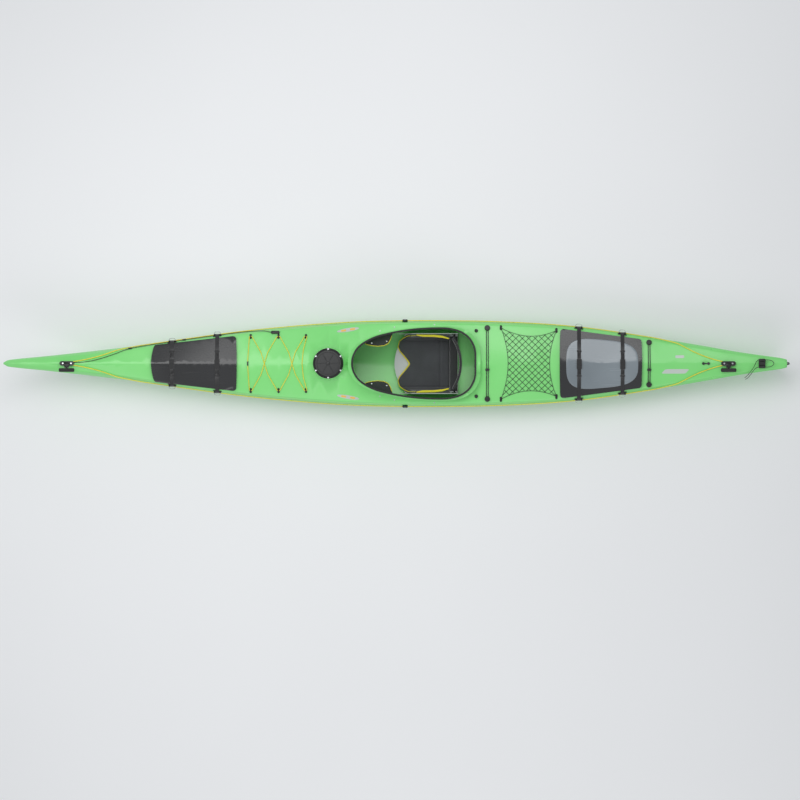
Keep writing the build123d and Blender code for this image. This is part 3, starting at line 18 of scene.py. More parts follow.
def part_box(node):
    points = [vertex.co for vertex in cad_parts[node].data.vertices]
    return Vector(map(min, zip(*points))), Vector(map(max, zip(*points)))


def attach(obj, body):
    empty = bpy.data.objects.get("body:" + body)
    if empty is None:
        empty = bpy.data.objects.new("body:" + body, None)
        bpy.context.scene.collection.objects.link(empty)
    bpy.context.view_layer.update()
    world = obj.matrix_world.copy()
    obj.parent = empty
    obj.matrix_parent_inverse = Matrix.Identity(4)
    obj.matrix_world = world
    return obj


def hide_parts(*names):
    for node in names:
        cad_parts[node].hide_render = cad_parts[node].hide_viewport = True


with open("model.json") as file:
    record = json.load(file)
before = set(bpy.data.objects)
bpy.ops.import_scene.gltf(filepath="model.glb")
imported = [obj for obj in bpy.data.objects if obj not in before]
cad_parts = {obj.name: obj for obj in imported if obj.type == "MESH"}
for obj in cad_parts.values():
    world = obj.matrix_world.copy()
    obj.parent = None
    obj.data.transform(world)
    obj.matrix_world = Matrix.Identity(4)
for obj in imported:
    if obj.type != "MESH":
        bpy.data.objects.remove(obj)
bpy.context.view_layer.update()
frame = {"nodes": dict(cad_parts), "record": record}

NODES = frame["nodes"]
BODIES = frame["record"]["behaviour"]["bodies"]
SLOTS = {part["node"]: part["material_slot"] for part in frame["record"]["subparts"]}
HOME = {node: body for body, nodes in BODIES.items() for node in nodes}
X, Y, Z = Vector((1, 0, 0)), Vector((0, 1, 0)), Vector((0, 0, 1))

# %% [markdown]
# ## Shader maths
# Node trees are easier to read as arithmetic. `Wire` wraps one output socket, and its
# operators add Math nodes, so `1 - mask * 0.3` builds what it says. `add_node` also serves
# the Geometry Nodes further down.

# %% Wire and Finish


def add_node(tree, kind, settings, values):
    """Adds a node: its settings first, then its sockets by order or by name."""
    node = tree.nodes.new(kind)
    for key, value in settings.items():
        setattr(node, key, value)
    for key, value in values.items() if isinstance(values, dict) else enumerate(values):
        if isinstance(value, bpy.types.NodeSocket):
            tree.links.new(value, node.inputs[key])
        else:
            node.inputs[key].default_value = value
    return node


class Wire:
    """One output socket of a material's tree."""

    def __init__(self, finish, socket):
        self.finish, self.socket = finish, socket

    def _math(self, operation, first, second):
        return self.finish.node("ShaderNodeMath", {"operation": operation}, [first, second])

    def __add__(self, other):
        return self._math("ADD", self, other)

    __radd__ = __add__

    def __mul__(self, other):
        return self._math("MULTIPLY", self, other)

    __rmul__ = __mul__

    def __sub__(self, other):
        return self._math("SUBTRACT", self, other)

    def __rsub__(self, other):
        return self._math("SUBTRACT", other, self)

    def above(self, edge):
        return self._math("GREATER_THAN", self, edge)

    def bounded(self, low=0.0, high=1.0):
        return self.finish.node("ShaderNodeClamp", {}, [self, low, high])


class Finish:
    """A material with one Principled shader."""

    def __init__(self, name, **fixed):
        self.material = bpy.data.materials.new(name)
        self.material.use_nodes = True
        self.tree = self.material.node_tree
        self.shader = self.tree.nodes["Principled BSDF"]
        self.place = Wire(self, self.tree.nodes.new("ShaderNodeTexCoord").outputs["Object"])
        for socket, value in fixed.items():
            self.shader.inputs[socket.replace("_", " ")].default_value = value

    def node(self, kind, settings, values, output=0):
        pairs = values.items() if isinstance(values, dict) else enumerate(values)
        bare = {key: value.socket if isinstance(value, Wire) else value for key, value in pairs}
        return Wire(self, add_node(self.tree, kind, settings, bare).outputs[output])

    def feed(self, socket, wire):
        self.tree.links.new(wire.socket, self.shader.inputs[socket])

    def noise(self, scale, detail=3.0, stretch=(1, 1, 1)):
        at = self.node("ShaderNodeMapping", {}, {"Vector": self.place, "Scale": stretch})
        return self.node(
            "ShaderNodeTexNoise", {}, {"Vector": at, "Scale": scale, "Detail": detail}
        )

    def wave(self, scale, turn=(0, 0, 0)):
        at = self.node("ShaderNodeMapping", {}, {"Vector": self.place, "Rotation": turn})
        return self.node("ShaderNodeTexWave", {}, {"Vector": at, "Scale": scale}, 1)

    def mix(self, share, low, high):
        """Colour between low and high; sockets 6 and 7 are the Mix node's colours."""
        return self.node(
            "ShaderNodeMix", {"data_type": "RGBA"}, {0: share, 6: low, 7: high}, 2
        )

    def bump(self, height, depth, strength=1.0, under=None):
        values = {"Height": height, "Distance": depth, "Strength": strength}
        if under:
            values["Normal"] = under
        return self.node("ShaderNodeBump", {}, values)


def hue(red, green, blue):
    """Linear colour from screen values of 0 to 255."""

    def linear(value):
        share = value / 255
        return share / 12.92 if share <= 0.04045 else ((share + 0.055) / 1.055) ** 2.4

    return (linear(red), linear(green), linear(blue), 1)


print("hull green in linear light:", [round(v, 3) for v in hue(146, 231, 138)])

# %% [markdown]
# ## Moulded green polyethylene
# Rotation-moulded plastic has a soft gloss, a faint waviness left by cooling, and hairline
# scratches that run along the boat. All three are gentle: the colour barely changes, the
# roughness does most of the work, and the bump is a fraction of a millimetre.

# %% Moulded plastics


def moulded(name, colour, deep, roughness, coat):
    finish = Finish(name, Coat_Weight=coat, Coat_Roughness=0.18, IOR=1.5)
    cloud = finish.noise(2.2, 4.0)
    grain = finish.noise(420.0, 2.0)
    hairs = finish.noise(90.0, 4.0, (0.05, 1.0, 1.0))
    scratch = (hairs - 0.60).bounded() * 5.0
    tint = (cloud - 0.25).bounded() + scratch * 0.12
    finish.feed("Base Color", finish.mix(tint, deep, colour))
    wear = cloud * 0.10 + grain * 0.08 + scratch * 0.25
    finish.feed("Roughness", (wear + roughness).bounded())
    wavy = finish.bump(cloud, 0.0006, 0.5)
    finish.feed("Normal", finish.bump(grain + scratch, 0.00006, 0.5, wavy))
    return finish.material


hull_green = moulded("hull_green", hue(146, 231, 138), hue(124, 220, 120), 0.24, 0.35)
cover_black = moulded("cover_black", hue(44, 45, 47), hue(26, 27, 28), 0.16, 0.6)
panel_grey = moulded("panel_grey", hue(150, 160, 166), hue(104, 114, 120), 0.12, 0.8)
patch_pale = moulded("patch_pale", hue(206, 214, 206), hue(190, 200, 192), 0.3, 0.4)
reflector_grey = moulded("reflector_grey", hue(206, 212, 204), hue(186, 194, 186), 0.2, 0.6)
reflector_amber = moulded("reflector_amber", hue(244, 204, 96), hue(232, 182, 70), 0.2, 0.6)
print("nodes in the hull's finish:", len(hull_green.node_tree.nodes))

# %% [markdown]
# ## Black mouldings, rubber and bright metal
# Small black fittings are nylon with a fine spark-eroded grain. Rubber is duller and a
# little uneven. The screws are turned stainless steel, and the seat pan is glossy grey.

# %% Black and metal finishes


def dark(name, low, high, roughness, grain_scale, grain_depth):
    finish = Finish(name)
    grain = finish.noise(grain_scale)
    dust = finish.noise(14.0, 5.0)
    finish.feed("Base Color", finish.mix((dust * grain).bounded(), hue(*low), hue(*high)))
    finish.feed("Roughness", (dust * 0.20 + grain * 0.12 + roughness).bounded())
    finish.feed("Normal", finish.bump(grain, grain_depth, 0.6))
    return finish.material


def steel():
    finish = Finish("bright_steel", Metallic=1.0)
    lines = finish.noise(600.0, 2.0, (0.1, 1.0, 1.0))
    finish.feed("Base Color", finish.mix(lines, hue(178, 180, 182), hue(226, 228, 230)))
    finish.feed("Roughness", lines * 0.25 + 0.16)
    finish.feed("Normal", finish.bump(lines, 0.00003, 0.5))
    return finish.material


def seat_shell():
    finish = Finish("grey_seat_shell", Coat_Weight=0.4, Coat_Roughness=0.15)
    cloud = finish.noise(6.0, 4.0)
    finish.feed("Base Color", finish.mix(cloud, hue(176, 180, 180), hue(205, 208, 208)))
    finish.feed("Roughness", cloud * 0.15 + 0.22)
    finish.feed("Normal", finish.bump(cloud, 0.0005, 0.4))
    return finish.material


black_nylon = dark("black_nylon", (26, 27, 27), (62, 63, 63), 0.28, 900.0, 0.00012)
black_rubber = dark("black_rubber", (22, 22, 22), (52, 52, 52), 0.46, 350.0, 0.00015)
foam_grey = dark("foam_grey", (84, 86, 86), (128, 130, 130), 0.72, 500.0, 0.0004)
bright_steel = steel()
grey_seat_shell = seat_shell()
print("hard finishes:", len(bpy.data.materials))

# %% [markdown]
# ## Cords, webbing and cloth
# A braided cord shows two sets of strands that cross at a slant. Two wave patterns turned
# opposite ways, multiplied, give that basket look, with a painted highlight on the raised
# strands and painted shade between them; a darker fleck is a tracer thread. Webbing has
# straight ribs across its width, and the seat cloth a fine square weave; both are painted
# lighter on their raised threads and darker in their hollows, as painted highlight and shade.

# %% Fibre finishes
QUARTER_TURN = (0, 0, math.pi / 2)


def braid(name, light, shade, fleck, pitch):
    finish = Finish(name, Sheen_Weight=0.25)
    over = finish.wave(pitch, (0.6, 0.7, 0.8))
    under = finish.wave(pitch, (0.6, -0.7, -0.8))
    strands = (over * under + (1 - over) * (1 - under)).bounded()
    tracer = finish.noise(240.0, 1.0).above(0.66)
    # Raised strands take the lit colour and the hollows between them the shaded one: painted
    # highlight and painted shade.
    body = finish.mix(strands, hue(*shade), hue(*light))
    finish.feed("Base Color", finish.mix(tracer * 0.7, body, hue(*fleck)))
    finish.feed("Roughness", 0.85 - strands * 0.25)
    finish.feed("Normal", finish.bump(strands, 0.0005, 0.8))
    return finish.material


def webbing():
    finish = Finish("black_webbing", Sheen_Weight=0.3)
    weave_and_painted_shade = (finish.wave(330.0) * 0.7 + finish.wave(240.0, QUARTER_TURN) * 0.3).bounded()
    # The ribs' crowns are painted lighter and their grooves darker: painted highlight and painted
    # shade.
    finish.feed("Base Color", finish.mix(weave_and_painted_shade, hue(20, 20, 21), hue(54, 54, 55)))
    finish.feed("Roughness", 0.9 - weave_and_painted_shade * 0.3)
    finish.feed("Normal", finish.bump(weave_and_painted_shade, 0.0004, 0.7))
    return finish.material


def cloth(name, low, high, pitch, depth):
    finish = Finish(name, Sheen_Weight=0.35)
    warp = finish.wave(pitch)
    weft = finish.wave(pitch, QUARTER_TURN)
    worn = finish.noise(9.0, 5.0)
    weave_and_painted_shade = (warp * weft + (1 - warp) * (1 - weft)).bounded()
    # The weave's raised threads are painted lighter and its hollows darker, as painted highlight
    # and shade; the worn noise adds patches of lighter wear.
    tint = (weave_and_painted_shade * 0.6 + worn * 0.5).bounded()
    finish.feed("Base Color", finish.mix(tint, hue(*low), hue(*high)))
    finish.feed("Roughness", (0.95 - weave_and_painted_shade * 0.25).bounded())
    finish.feed("Normal", finish.bump(weave_and_painted_shade + worn * 0.6, depth, 0.8))
    return finish.material


yellow_braid = braid("yellow_braid", (250, 240, 78), (222, 208, 48), (120, 120, 40), 260.0)
black_braid = braid("black_braid", (52, 52, 52), (20, 20, 20), (120, 120, 116), 300.0)
piping_yellow = braid("piping_yellow", (246, 232, 52), (224, 206, 34), (246, 232, 52), 300.0)
black_webbing = webbing()
seat_cloth = cloth("seat_cloth", (34, 35, 37), (84, 86, 90), 210.0, 0.0006)
pad_cloth = cloth("pad_cloth", (30, 30, 31), (66, 67, 69), 320.0, 0.0005)
print("all finishes:", len(bpy.data.materials))

# %% [markdown]
# ## Rounding off the imported parts
# The imported parts are loose triangles. A merged copy can be shaded smooth and kept crisp
# only where two faces meet at a real edge. Each copy takes its part's place and body, and a
# finish chosen by its slot.

# %% Smooth copies
FINISHES = {
    "hull_plastic": hull_green,
    "cover_plastic": cover_black,
    "white_plastic": hull_green,
    "grey_seat_plastic": grey_seat_shell,
    "yellow_cord": yellow_braid,
    "black_cord": black_braid,
    "black_rubber": black_rubber,
    "seat_fabric": seat_cloth,
    "bright_steel": bright_steel,
    "bulkhead_foam": foam_grey,
    "strap_webbing": black_webbing,
    "black_plastic": black_nylon,
}
SOFT = ("seat_cushion", "backrest_pad", "thigh_pads", "rest_cord", "cargo_net")
CREASE = math.radians(32)
MERGE = 0.00002


def added(name, data):
    """New object in the scene, at the origin."""
    thing = bpy.data.objects.new(name, data)
    bpy.context.collection.objects.link(thing)
    return thing


def show(name, mesh, finish, body, slot, *stands_for):
    """Adds a finished mesh to the scene as one piece."""
    piece = added(name, mesh)
    piece.data.materials.clear()
    piece.data.materials.append(finish)
    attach(piece, body)
    if stands_for:
        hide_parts(*stands_for)
    return piece


def smooth_copy(node):
    """Merged, smooth-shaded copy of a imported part."""
    mesh = NODES[node].data.copy()
    work = bmesh.new()
    work.from_mesh(mesh)
    bmesh.ops.remove_doubles(work, verts=work.verts, dist=MERGE)
    work.to_mesh(mesh)
    work.free()
    mesh.shade_smooth()
    mesh.set_sharp_from_angle(angle=CREASE)
    finish = hull_green if node == "cockpit_coaming" else FINISHES[SLOTS[node]]
    return show(f"{node}_smooth", mesh, finish, HOME[node], SLOTS[node], node)


copies = {node: smooth_copy(node) for node in NODES if node not in SOFT}
print("smooth copies:", len(copies), "faces:", sum(len(c.data.polygons) for c in copies.values()))

# %% [markdown]
# ## Finding a surface
# Plates, screws and the cargo net lie on the moulded skin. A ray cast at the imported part
# tells where the skin is, so each small piece is laid on it instead of being placed by eye.

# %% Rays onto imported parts
ABOVE_ALL = 1.0


def skin_of(*nodes):
    """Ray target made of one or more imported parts."""
    corners, faces = [], []
    for node in nodes:
        mesh = NODES[node].data
        first = len(corners)
        corners += [v.co.copy() for v in mesh.vertices]
        faces += [[first + i for i in face.vertices] for face in mesh.polygons]
    return BVHTree.FromPolygons(corners, faces)


def top_of(skin, x, y, miss=None):
    """Height of the skin at (x, y), seen from above."""
    hit = skin.ray_cast(Vector((x, y, ABOVE_ALL)), -Z)[0]
    return hit.z if hit else miss


deck_skin = skin_of("deck", "cockpit_coaming")
cover_skin = skin_of("rear_hatch_cover")
hull_skin = skin_of("hull", "deck")
brace_skin = skin_of("thigh_braces")
pad_skin = skin_of("thigh_pads")
print("deck at the foredeck eyelet:", round(top_of(deck_skin, -0.785, 0.1), 4))

# %% [markdown]
# ## Plates, reflectors and the raised hatch panel
# Each is a thin plaque pressed onto a curved skin. Rings of points run from its middle to
# its outline; every point is dropped onto the skin, then lifted by the plaque's thickness,
# and the last rings are turned down so that the edge is rounded. More rings close it below.

# %% Plaques
TOP_RINGS, UNDER_RINGS = 14, 5
SUNK = -0.0004
RAY_REACH = 0.25
EDGE_PROFILE = ((0.985, 0.92), (0.998, 0.55))


def closed_mesh(name, work):
    """Plain smooth mesh of a bmesh whose faces all point outwards."""
    bmesh.ops.recalc_face_normals(work, faces=work.faces)
    mesh = bpy.data.meshes.new(name)
    work.to_mesh(mesh)
    work.free()
    mesh.shade_smooth()
    return mesh


def plaque(name, outline, middle, across, upward, outward, skin, thick, finish, body, slot):
    """Thin closed plate that follows a skin; outline is in metres about its middle."""
    work = bmesh.new()

    def dropped(u, v, lift):
        start = middle + across * u + upward * v + outward * RAY_REACH
        return skin.ray_cast(start, -outward)[0] + outward * lift

    def ring(share, lift):
        return [work.verts.new(dropped(u * share, v * share, lift)) for u, v in outline]

    rings = [ring(k / TOP_RINGS, thick) for k in range(1, TOP_RINGS)]
    rings += [ring(share, thick * height) for share, height in EDGE_PROFILE]
    rings += [ring(k / UNDER_RINGS, SUNK) for k in range(UNDER_RINGS, 0, -1)]
    for here, beyond in zip(rings, rings[1:]):
        for i in range(len(outline)):
            j = (i + 1) % len(outline)
            work.faces.new((here[i], beyond[i], beyond[j], here[j]))
    for loop, lift in ((rings[0], thick), (rings[-1], SUNK)):
        hub = work.verts.new(dropped(0, 0, lift))
        for i in range(len(outline)):
            work.faces.new((hub, loop[i], loop[(i + 1) % len(outline)]))
    return show(name, closed_mesh(name, work), finish, body, slot)


def rounded_shape(half_u, half_v, power=2.0, count=56, taper=0.0, turn=0.0):
    """Superellipse; a high power squares it, taper narrows one end."""
    points = []
    for k in range(count):
        c, s = math.cos(2 * math.pi * k / count), math.sin(2 * math.pi * k / count)
        u = math.copysign(abs(c) ** (2 / power), c) * half_u
        v = math.copysign(abs(s) ** (2 / power), s) * half_v
        v *= 1 - taper * u / half_u
        points.append(
            (u * math.cos(turn) - v * math.sin(turn), u * math.sin(turn) + v * math.cos(turn))
        )
    return points


# %% Plates in their places
REFLECTOR_PLACE, REFLECTOR_HALF, REFLECTOR_SLANT = (-0.326, 0.222), (0.074, 0.0125), 0.16
BAR_HALF, BAR_SHIFT = (0.017, 0.0062), 0.030
DISC_PLACE, DISC_RADIUS = Vector((-2.344, 0, 0.262)), 0.0215
STRIPE_SLANT = 0.9
plaque(
    "rear_cover_panel", rounded_shape(0.238, 0.160, 3.4, 72, 0.13), Vector((1.351, -0.002, 0.2)),
    X, Y, Z, cover_skin, 0.0016, panel_grey, "rear_hatch_cover_body", "cover_plastic",
)
for side, tag in ((1, "starboard"), (-1, "port")):
    turn = side * REFLECTOR_SLANT
    place = Vector((REFLECTOR_PLACE[0], side * REFLECTOR_PLACE[1], 0.2))
    plaque(
        f"reflector_{tag}", rounded_shape(*REFLECTOR_HALF, 2.0, 48, 0.0, turn), place,
        X, Y, Z, deck_skin, 0.0012, reflector_grey, "boat", "hull_plastic",
    )
    for shift, end in ((-BAR_SHIFT, "fore"), (BAR_SHIFT, "aft")):
        spot = place + Vector((shift * math.cos(turn), shift * math.sin(turn), 0))
        plaque(
            f"reflector_{tag}_bar_{end}", rounded_shape(*BAR_HALF, 4.0, 32, 0.0, turn), spot,
            X, Y, Z, deck_skin, 0.0020, reflector_amber, "boat", "hull_plastic",
        )
    plaque(
        f"bow_disc_{tag}", rounded_shape(DISC_RADIUS, DISC_RADIUS), DISC_PLACE,
        X, Z, Y * side, hull_skin, 0.0010, patch_pale, "boat", "hull_plastic",
    )
plaque(
    "stern_patch", rounded_shape(0.029, 0.0095, 6.0), Vector((1.864, 0.045, 0.2)),
    X, Y, Z, deck_skin, 0.0008, patch_pale, "boat", "hull_plastic",
)
plaque(
    "stern_stripe", [(u + v * STRIPE_SLANT, v) for u, v in rounded_shape(0.080, 0.015, 7.0)],
    Vector((1.835, -0.052, 0.2)), X, Y, Z, deck_skin, 0.0008, patch_pale, "boat", "hull_plastic",
)

# %% [markdown]
# ## The cargo net
# Black cord laid in diamonds is stretched between four eyelets. Its edges bow inwards
# because every cord pulls on them. The diagonals are cut where they meet the bowed edge, and
# each cord is a curve with a round bevel, turned into one mesh at the end.

# %% Net cords
NET_FRONT, NET_REAR = (0.683, 0.236), (1.050, 0.218)
NET_BOW = 0.046
NET_PITCH = 0.0415
NET_SLOPE = 0.97
NET_RADIUS = 0.0015
EDGE_STEPS, DIAGONAL_STEP = 40, 0.006
DIAGONALS = range(-13, 14)
CROSSING_LIFTS = ((1, 0.0021), (-1, 0.0050))
net_middle = (NET_FRONT[0] + NET_REAR[0]) / 2
net_half = (NET_REAR[0] - NET_FRONT[0]) / 2


def net_side(x):
    across = (x - net_middle) / net_half
    corner = (NET_FRONT[1] + NET_REAR[1]) / 2 + (NET_REAR[1] - NET_FRONT[1]) / 2 * across
    return corner - NET_BOW * (1 - across**2)


def net_end(y, corner, inward):
    return corner[0] + inward * NET_BOW * (1 - (y / corner[1]) ** 2)


def in_net(x, y):
    return net_end(y, NET_FRONT, 1) < x < net_end(y, NET_REAR, -1) and abs(y) < net_side(x)


def laid(x, y, lift):
    """Point above the deck's skin."""
    return Vector((x, y, top_of(deck_skin, x, y) + lift))


def edge_lift(k):
    """Height of an edge cord over the deck: high at its eyelets, lower between them."""
    return 0.0045 - 0.002 * math.sin(math.pi * k / EDGE_STEPS)


def evaluated_mesh(source):
    """Plain mesh of an object as its bevel or modifiers leave it."""
    return bpy.data.meshes.new_from_object(
        source.evaluated_get(bpy.context.evaluated_depsgraph_get())
    )


def tube_mesh(name, strands, radius, shares=None, sides=2):
    """Round cords along lists of points, as one mesh; shares scale the radius along them."""
    curve = bpy.data.curves.new(name, "CURVE")
    curve.dimensions = "3D"
    curve.bevel_depth = radius
    curve.bevel_resolution = sides
    curve.use_fill_caps = True
    for strand in strands:
        spline = curve.splines.new("POLY")
        spline.points.add(len(strand) - 1)
        for point, place, share in zip(spline.points, strand, shares or [1] * len(strand)):
            point.co = (*place, 1)
            point.radius = share
    holder = added(name, curve)
    mesh = evaluated_mesh(holder)
    bpy.data.objects.remove(holder)
    mesh.shade_smooth()
    return mesh


def net_edges():
    """The two sides, then the two ends."""
    count = EDGE_STEPS + 1
    for side in (1, -1):
        xs = [NET_FRONT[0] + 2 * net_half * k / EDGE_STEPS for k in range(count)]
        yield [laid(x, side * net_side(x), edge_lift(k)) for k, x in enumerate(xs)]
    for corner, inward in ((NET_FRONT, 1), (NET_REAR, -1)):
        ys = [corner[1] * (2 * k / EDGE_STEPS - 1) for k in range(count)]
        yield [laid(net_end(y, corner, inward), y, edge_lift(k)) for k, y in enumerate(ys)]


def net_diagonals():
    """Two sets of parallel cords that cross, one set over the other."""
    for slope, lift in CROSSING_LIFTS:
        for k in DIAGONALS:
            run, x = [], NET_FRONT[0]
            while x < NET_REAR[0]:
                y = k * NET_PITCH + slope * (x - net_middle) * NET_SLOPE
                if in_net(x, y):
                    run.append(laid(x, y, lift))
                x += DIAGONAL_STEP
            if len(run) > 3:
                yield run


net_mesh = tube_mesh("net", [*net_edges(), *net_diagonals()], NET_RADIUS, sides=1)
show("cargo_net_cords", net_mesh, black_braid, "boat", "black_cord", "cargo_net")
print("net faces:", len(net_mesh.polygons))

# %% [markdown]
# ## Padded pieces
# A foam pad is a sheet of nearly even thickness whose edge is rounded over by its sewn
# cover. We draw it as rows of points: `place` bends a flat (along, around) position onto the
# seat or backrest and pushes it out by a thickness. The top and underside share their
# border, so the form is closed.

# %% Pad builder


def level(value):
    """Function that gives the same value everywhere."""
    return lambda *_: value


def eased(share):
    """Quarter-round profile: 0 at the edge, 1 once well inside."""
    q = min(max(share, 0.0), 1.0)
    return math.sqrt(1 - (1 - q) ** 2)


def spread(low, high, count):
    """Positions from low to high, closer together at the ends."""
    return [low + (high - low) * (1 - math.cos(math.pi * k / count)) / 2 for k in range(count + 1)]


def between(value, *pairs):
    """Straight-line reading of a small table of (input, output) pairs."""
    if value <= pairs[0][0]:
        return pairs[0][1]
    for (low, a), (high, b) in zip(pairs, pairs[1:]):
        if value <= high:
            return a + (b - a) * (value - low) / (high - low)
    return pairs[-1][1]


def pad(name, rows, front, rear, place, puff, edge, columns, finish, body, *stands_for):
    """Closed padded form; rows run around, columns from front to rear."""
    work = bmesh.new()
    grid = []
    for t in rows:
        line = []
        for s in spread(front(t), rear(t), columns):
            inset = min(s - front(t), rear(t) - s, t - rows[0], rows[-1] - t)
            rise = puff(s, t) * eased(inset / edge)
            under = place(s, t, 0.0)
            line.append((work.verts.new(place(s, t, rise)), work.verts.new(under)))
        grid.append(line)
    for low, high in zip(grid, grid[1:]):
        for j in range(columns):
            a, b, c, d = low[j], low[j + 1], high[j + 1], high[j]
            work.faces.new((a[0], b[0], c[0], d[0]))
            work.faces.new((d[1], c[1], b[1], a[1]))
    bmesh.ops.remove_doubles(work, verts=work.verts, dist=0.00001)
    bmesh.ops.dissolve_degenerate(work, edges=work.edges, dist=0.000005)
    piece = show(name, closed_mesh(name, work), finish, body, "seat_fabric", *stands_for)
    print(name, "faces:", len(piece.data.polygons))


# %% [markdown]
# ## The seat cushion
# The cushion lines a channel: a floor, two rounded corners and two upright hip sides. Its
# front edge has a deep notch in the middle, and the hip sides start further back. A sewn
# seam sinks on each side where the floor meets the hip, and a fold crosses near the rear.

# %% Cushion in the channel
HALF, FLOOR, CORNER, SIDE_TOP = 0.1954, 0.0566, 0.0504, 0.208
CUSHION_REAR, CUSHION_THICK = 0.346, 0.0205
SEAM_AT, SEAM_WIDTH, SEAM_DEPTH = 0.158, 0.007, 0.007
FOLD_AT, FOLD_WIDTH, FOLD_DEPTH = 0.285, 0.008, 0.004
DISH_LENGTH, DISH_WIDTH, DISH_RISE = 0.34, 0.30, 0.0025
NOTCH_HALF = 0.112
NOTCH = ((0.0, 0.078), (0.012, 0.074), (0.045, 0.048), (0.085, 0.014), (NOTCH_HALF, 0.002))
HIP_FRONT = ((NOTCH_HALF, 0.002), (0.150, 0.012), (0.224, 0.082), (0.325, 0.118))
flat_half = HALF - CORNER
arc_length = CORNER * math.pi / 2
girth = flat_half + arc_length + SIDE_TOP - FLOOR - CORNER


def in_channel(s, t, rise):
    """Point of the channel at s along and t around, pushed inwards by rise."""
    side, t = (1 if t >= 0 else -1), abs(t)
    if t <= flat_half:
        y, z, ny, nz = t, FLOOR, 0.0, 1.0
    elif t <= flat_half + arc_length:
        angle = (t - flat_half) / CORNER
        y, z = flat_half + CORNER * math.sin(angle), FLOOR + CORNER * (1 - math.cos(angle))
        ny, nz = -math.sin(angle), math.cos(angle)
    else:
        y, z, ny, nz = HALF, FLOOR + CORNER + t - flat_half - arc_length, -1.0, 0.0
    return Vector((s, side * (y + ny * rise), z + nz * rise))


def dent(value, middle, width):
    """Bell-shaped share of a sewn line's depth."""
    return math.exp(-(((value - middle) / width) ** 2))


def cushion_front(t):
    return between(abs(t), *(NOTCH if abs(t) < NOTCH_HALF else HIP_FRONT))


def cushion_rise(s, t):
    along = min(max(s, 0), DISH_LENGTH) / DISH_LENGTH
    dish = DISH_RISE * math.cos(math.pi * t / DISH_WIDTH) * math.sin(math.pi * along)
    seam = SEAM_DEPTH * dent(abs(t), SEAM_AT, SEAM_WIDTH)
    return CUSHION_THICK + dish - seam - FOLD_DEPTH * dent(s, FOLD_AT, FOLD_WIDTH)


pad(
    "seat_cushion_pad", spread(-girth, girth, 150), cushion_front, level(CUSHION_REAR),
    in_channel, cushion_rise, 0.016, 90, seat_cloth, "boat", "seat_cushion",
)

# %% [markdown]
# ## Flap behind the cushion and the rounded front of the pan
# A thin padded flap runs on from the cushion below the backrest. The seat pan is a smooth
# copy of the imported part; its front is trimmed to a bow with a Boolean modifier, because a
# moulded seat has no square corners there.

# %% Flap and pan
FLAP_HALF, FLAP_ENDS, FLAP_THICK = 0.186, (0.348, 0.398), 0.011
BOW_FRONT, BOW_CURVE, BOW_HALF, BOW_STEPS = -0.020, 1.9, 0.215, 24
CUT_FRONT, CUT_LOW, CUT_HIGH = -0.10, 0.040, 0.118
pad(
    "seat_flap", spread(-FLAP_HALF, FLAP_HALF, 60), level(FLAP_ENDS[0]), level(FLAP_ENDS[1]),
    in_channel, level(FLAP_THICK), 0.008, 16, pad_cloth, "boat",
)


def bowed_cutter():
    """Prism in front of the seat's bowed front edge."""
    ys = [BOW_HALF * (k / BOW_STEPS - 1) for k in range(2 * BOW_STEPS + 1)]
    bow = [(BOW_FRONT + BOW_CURVE * y * y, y) for y in ys]
    plan = [(CUT_FRONT, ys[0]), *bow, (CUT_FRONT, ys[-1])]
    work = bmesh.new()
    low, high = ([work.verts.new((x, y, z)) for x, y in plan] for z in (CUT_LOW, CUT_HIGH))
    work.faces.new(low[::-1])
    work.faces.new(high)
    for k in range(len(plan)):
        j = (k + 1) % len(plan)
        work.faces.new((low[k], low[j], high[j], high[k]))
    return added("pan_cutter", closed_mesh("pan_cutter", work))


pan = copies["seat_pan"]
cutter = bowed_cutter()
trim = pan.modifiers.new("bow", "BOOLEAN")
trim.object = cutter
trim.operation = "DIFFERENCE"
trim.solver = "EXACT"
bowed = evaluated_mesh(pan)
pan.modifiers.remove(trim)
pan.data = bowed
bpy.data.objects.remove(cutter)
pan.data.materials.clear()
pan.data.materials.append(grey_seat_shell)
pan.data.shade_smooth()
pan.data.set_sharp_from_angle(angle=CREASE)
print("seat pan faces:", len(pan.data.polygons))

# %% [markdown]
# ## Yellow piping
# Piping is a thin cord sewn into the edge seam. It follows the cushion's front edge, and a
# fatter yellow band finishes the top of each hip side.

# %% Piping of the seat
HIP_START, HIP_LENGTH, HIP_STEPS = 0.125, 0.215, 40
HIP_INSET = ((0, 0.006), (0.2, 0.011), (0.55, 0.012), (0.8, 0.018), (1, 0.030))


def piping(name, strands, radius, finish, body, slot, shares=None, sides=2):
    mesh = tube_mesh(name, strands, radius, shares, sides)
    show(name, mesh, finish, body, slot)
    print(name, "faces:", len(mesh.polygons))


around = spread(-girth + 0.004, girth - 0.004, 200)
front_line = [in_channel(cushion_front(t) + 0.001, t, 0.010) for t in around]
swell = [between(abs(t), (0.0, 1.9), (0.07, 1.6), (0.12, 1.0), (0.2, 0.9)) for t in around]
piping("seat_piping", [front_line], 0.0030, piping_yellow, "boat", "yellow_cord", swell)

steps = [k / HIP_STEPS for k in range(HIP_STEPS + 1)]
hips = [
    [
        in_channel(HIP_START + HIP_LENGTH * k, side * (girth - 0.002), between(k, *HIP_INSET))
        for k in steps
    ]
    for side in (1, -1)
]
swell = [between(k, (0, 0.5), (0.2, 1.0), (0.75, 1.0), (1, 0.55)) for k in steps]
piping("hip_bands", hips, 0.0080, piping_yellow, "boat", "yellow_cord", swell, 3)

# %% [markdown]
# ## The backrest pad
# The backrest is a band curved aft. Its pad is pleated: short vertical channels let the foam
# bend round the curve. A rubber bead edges its top.

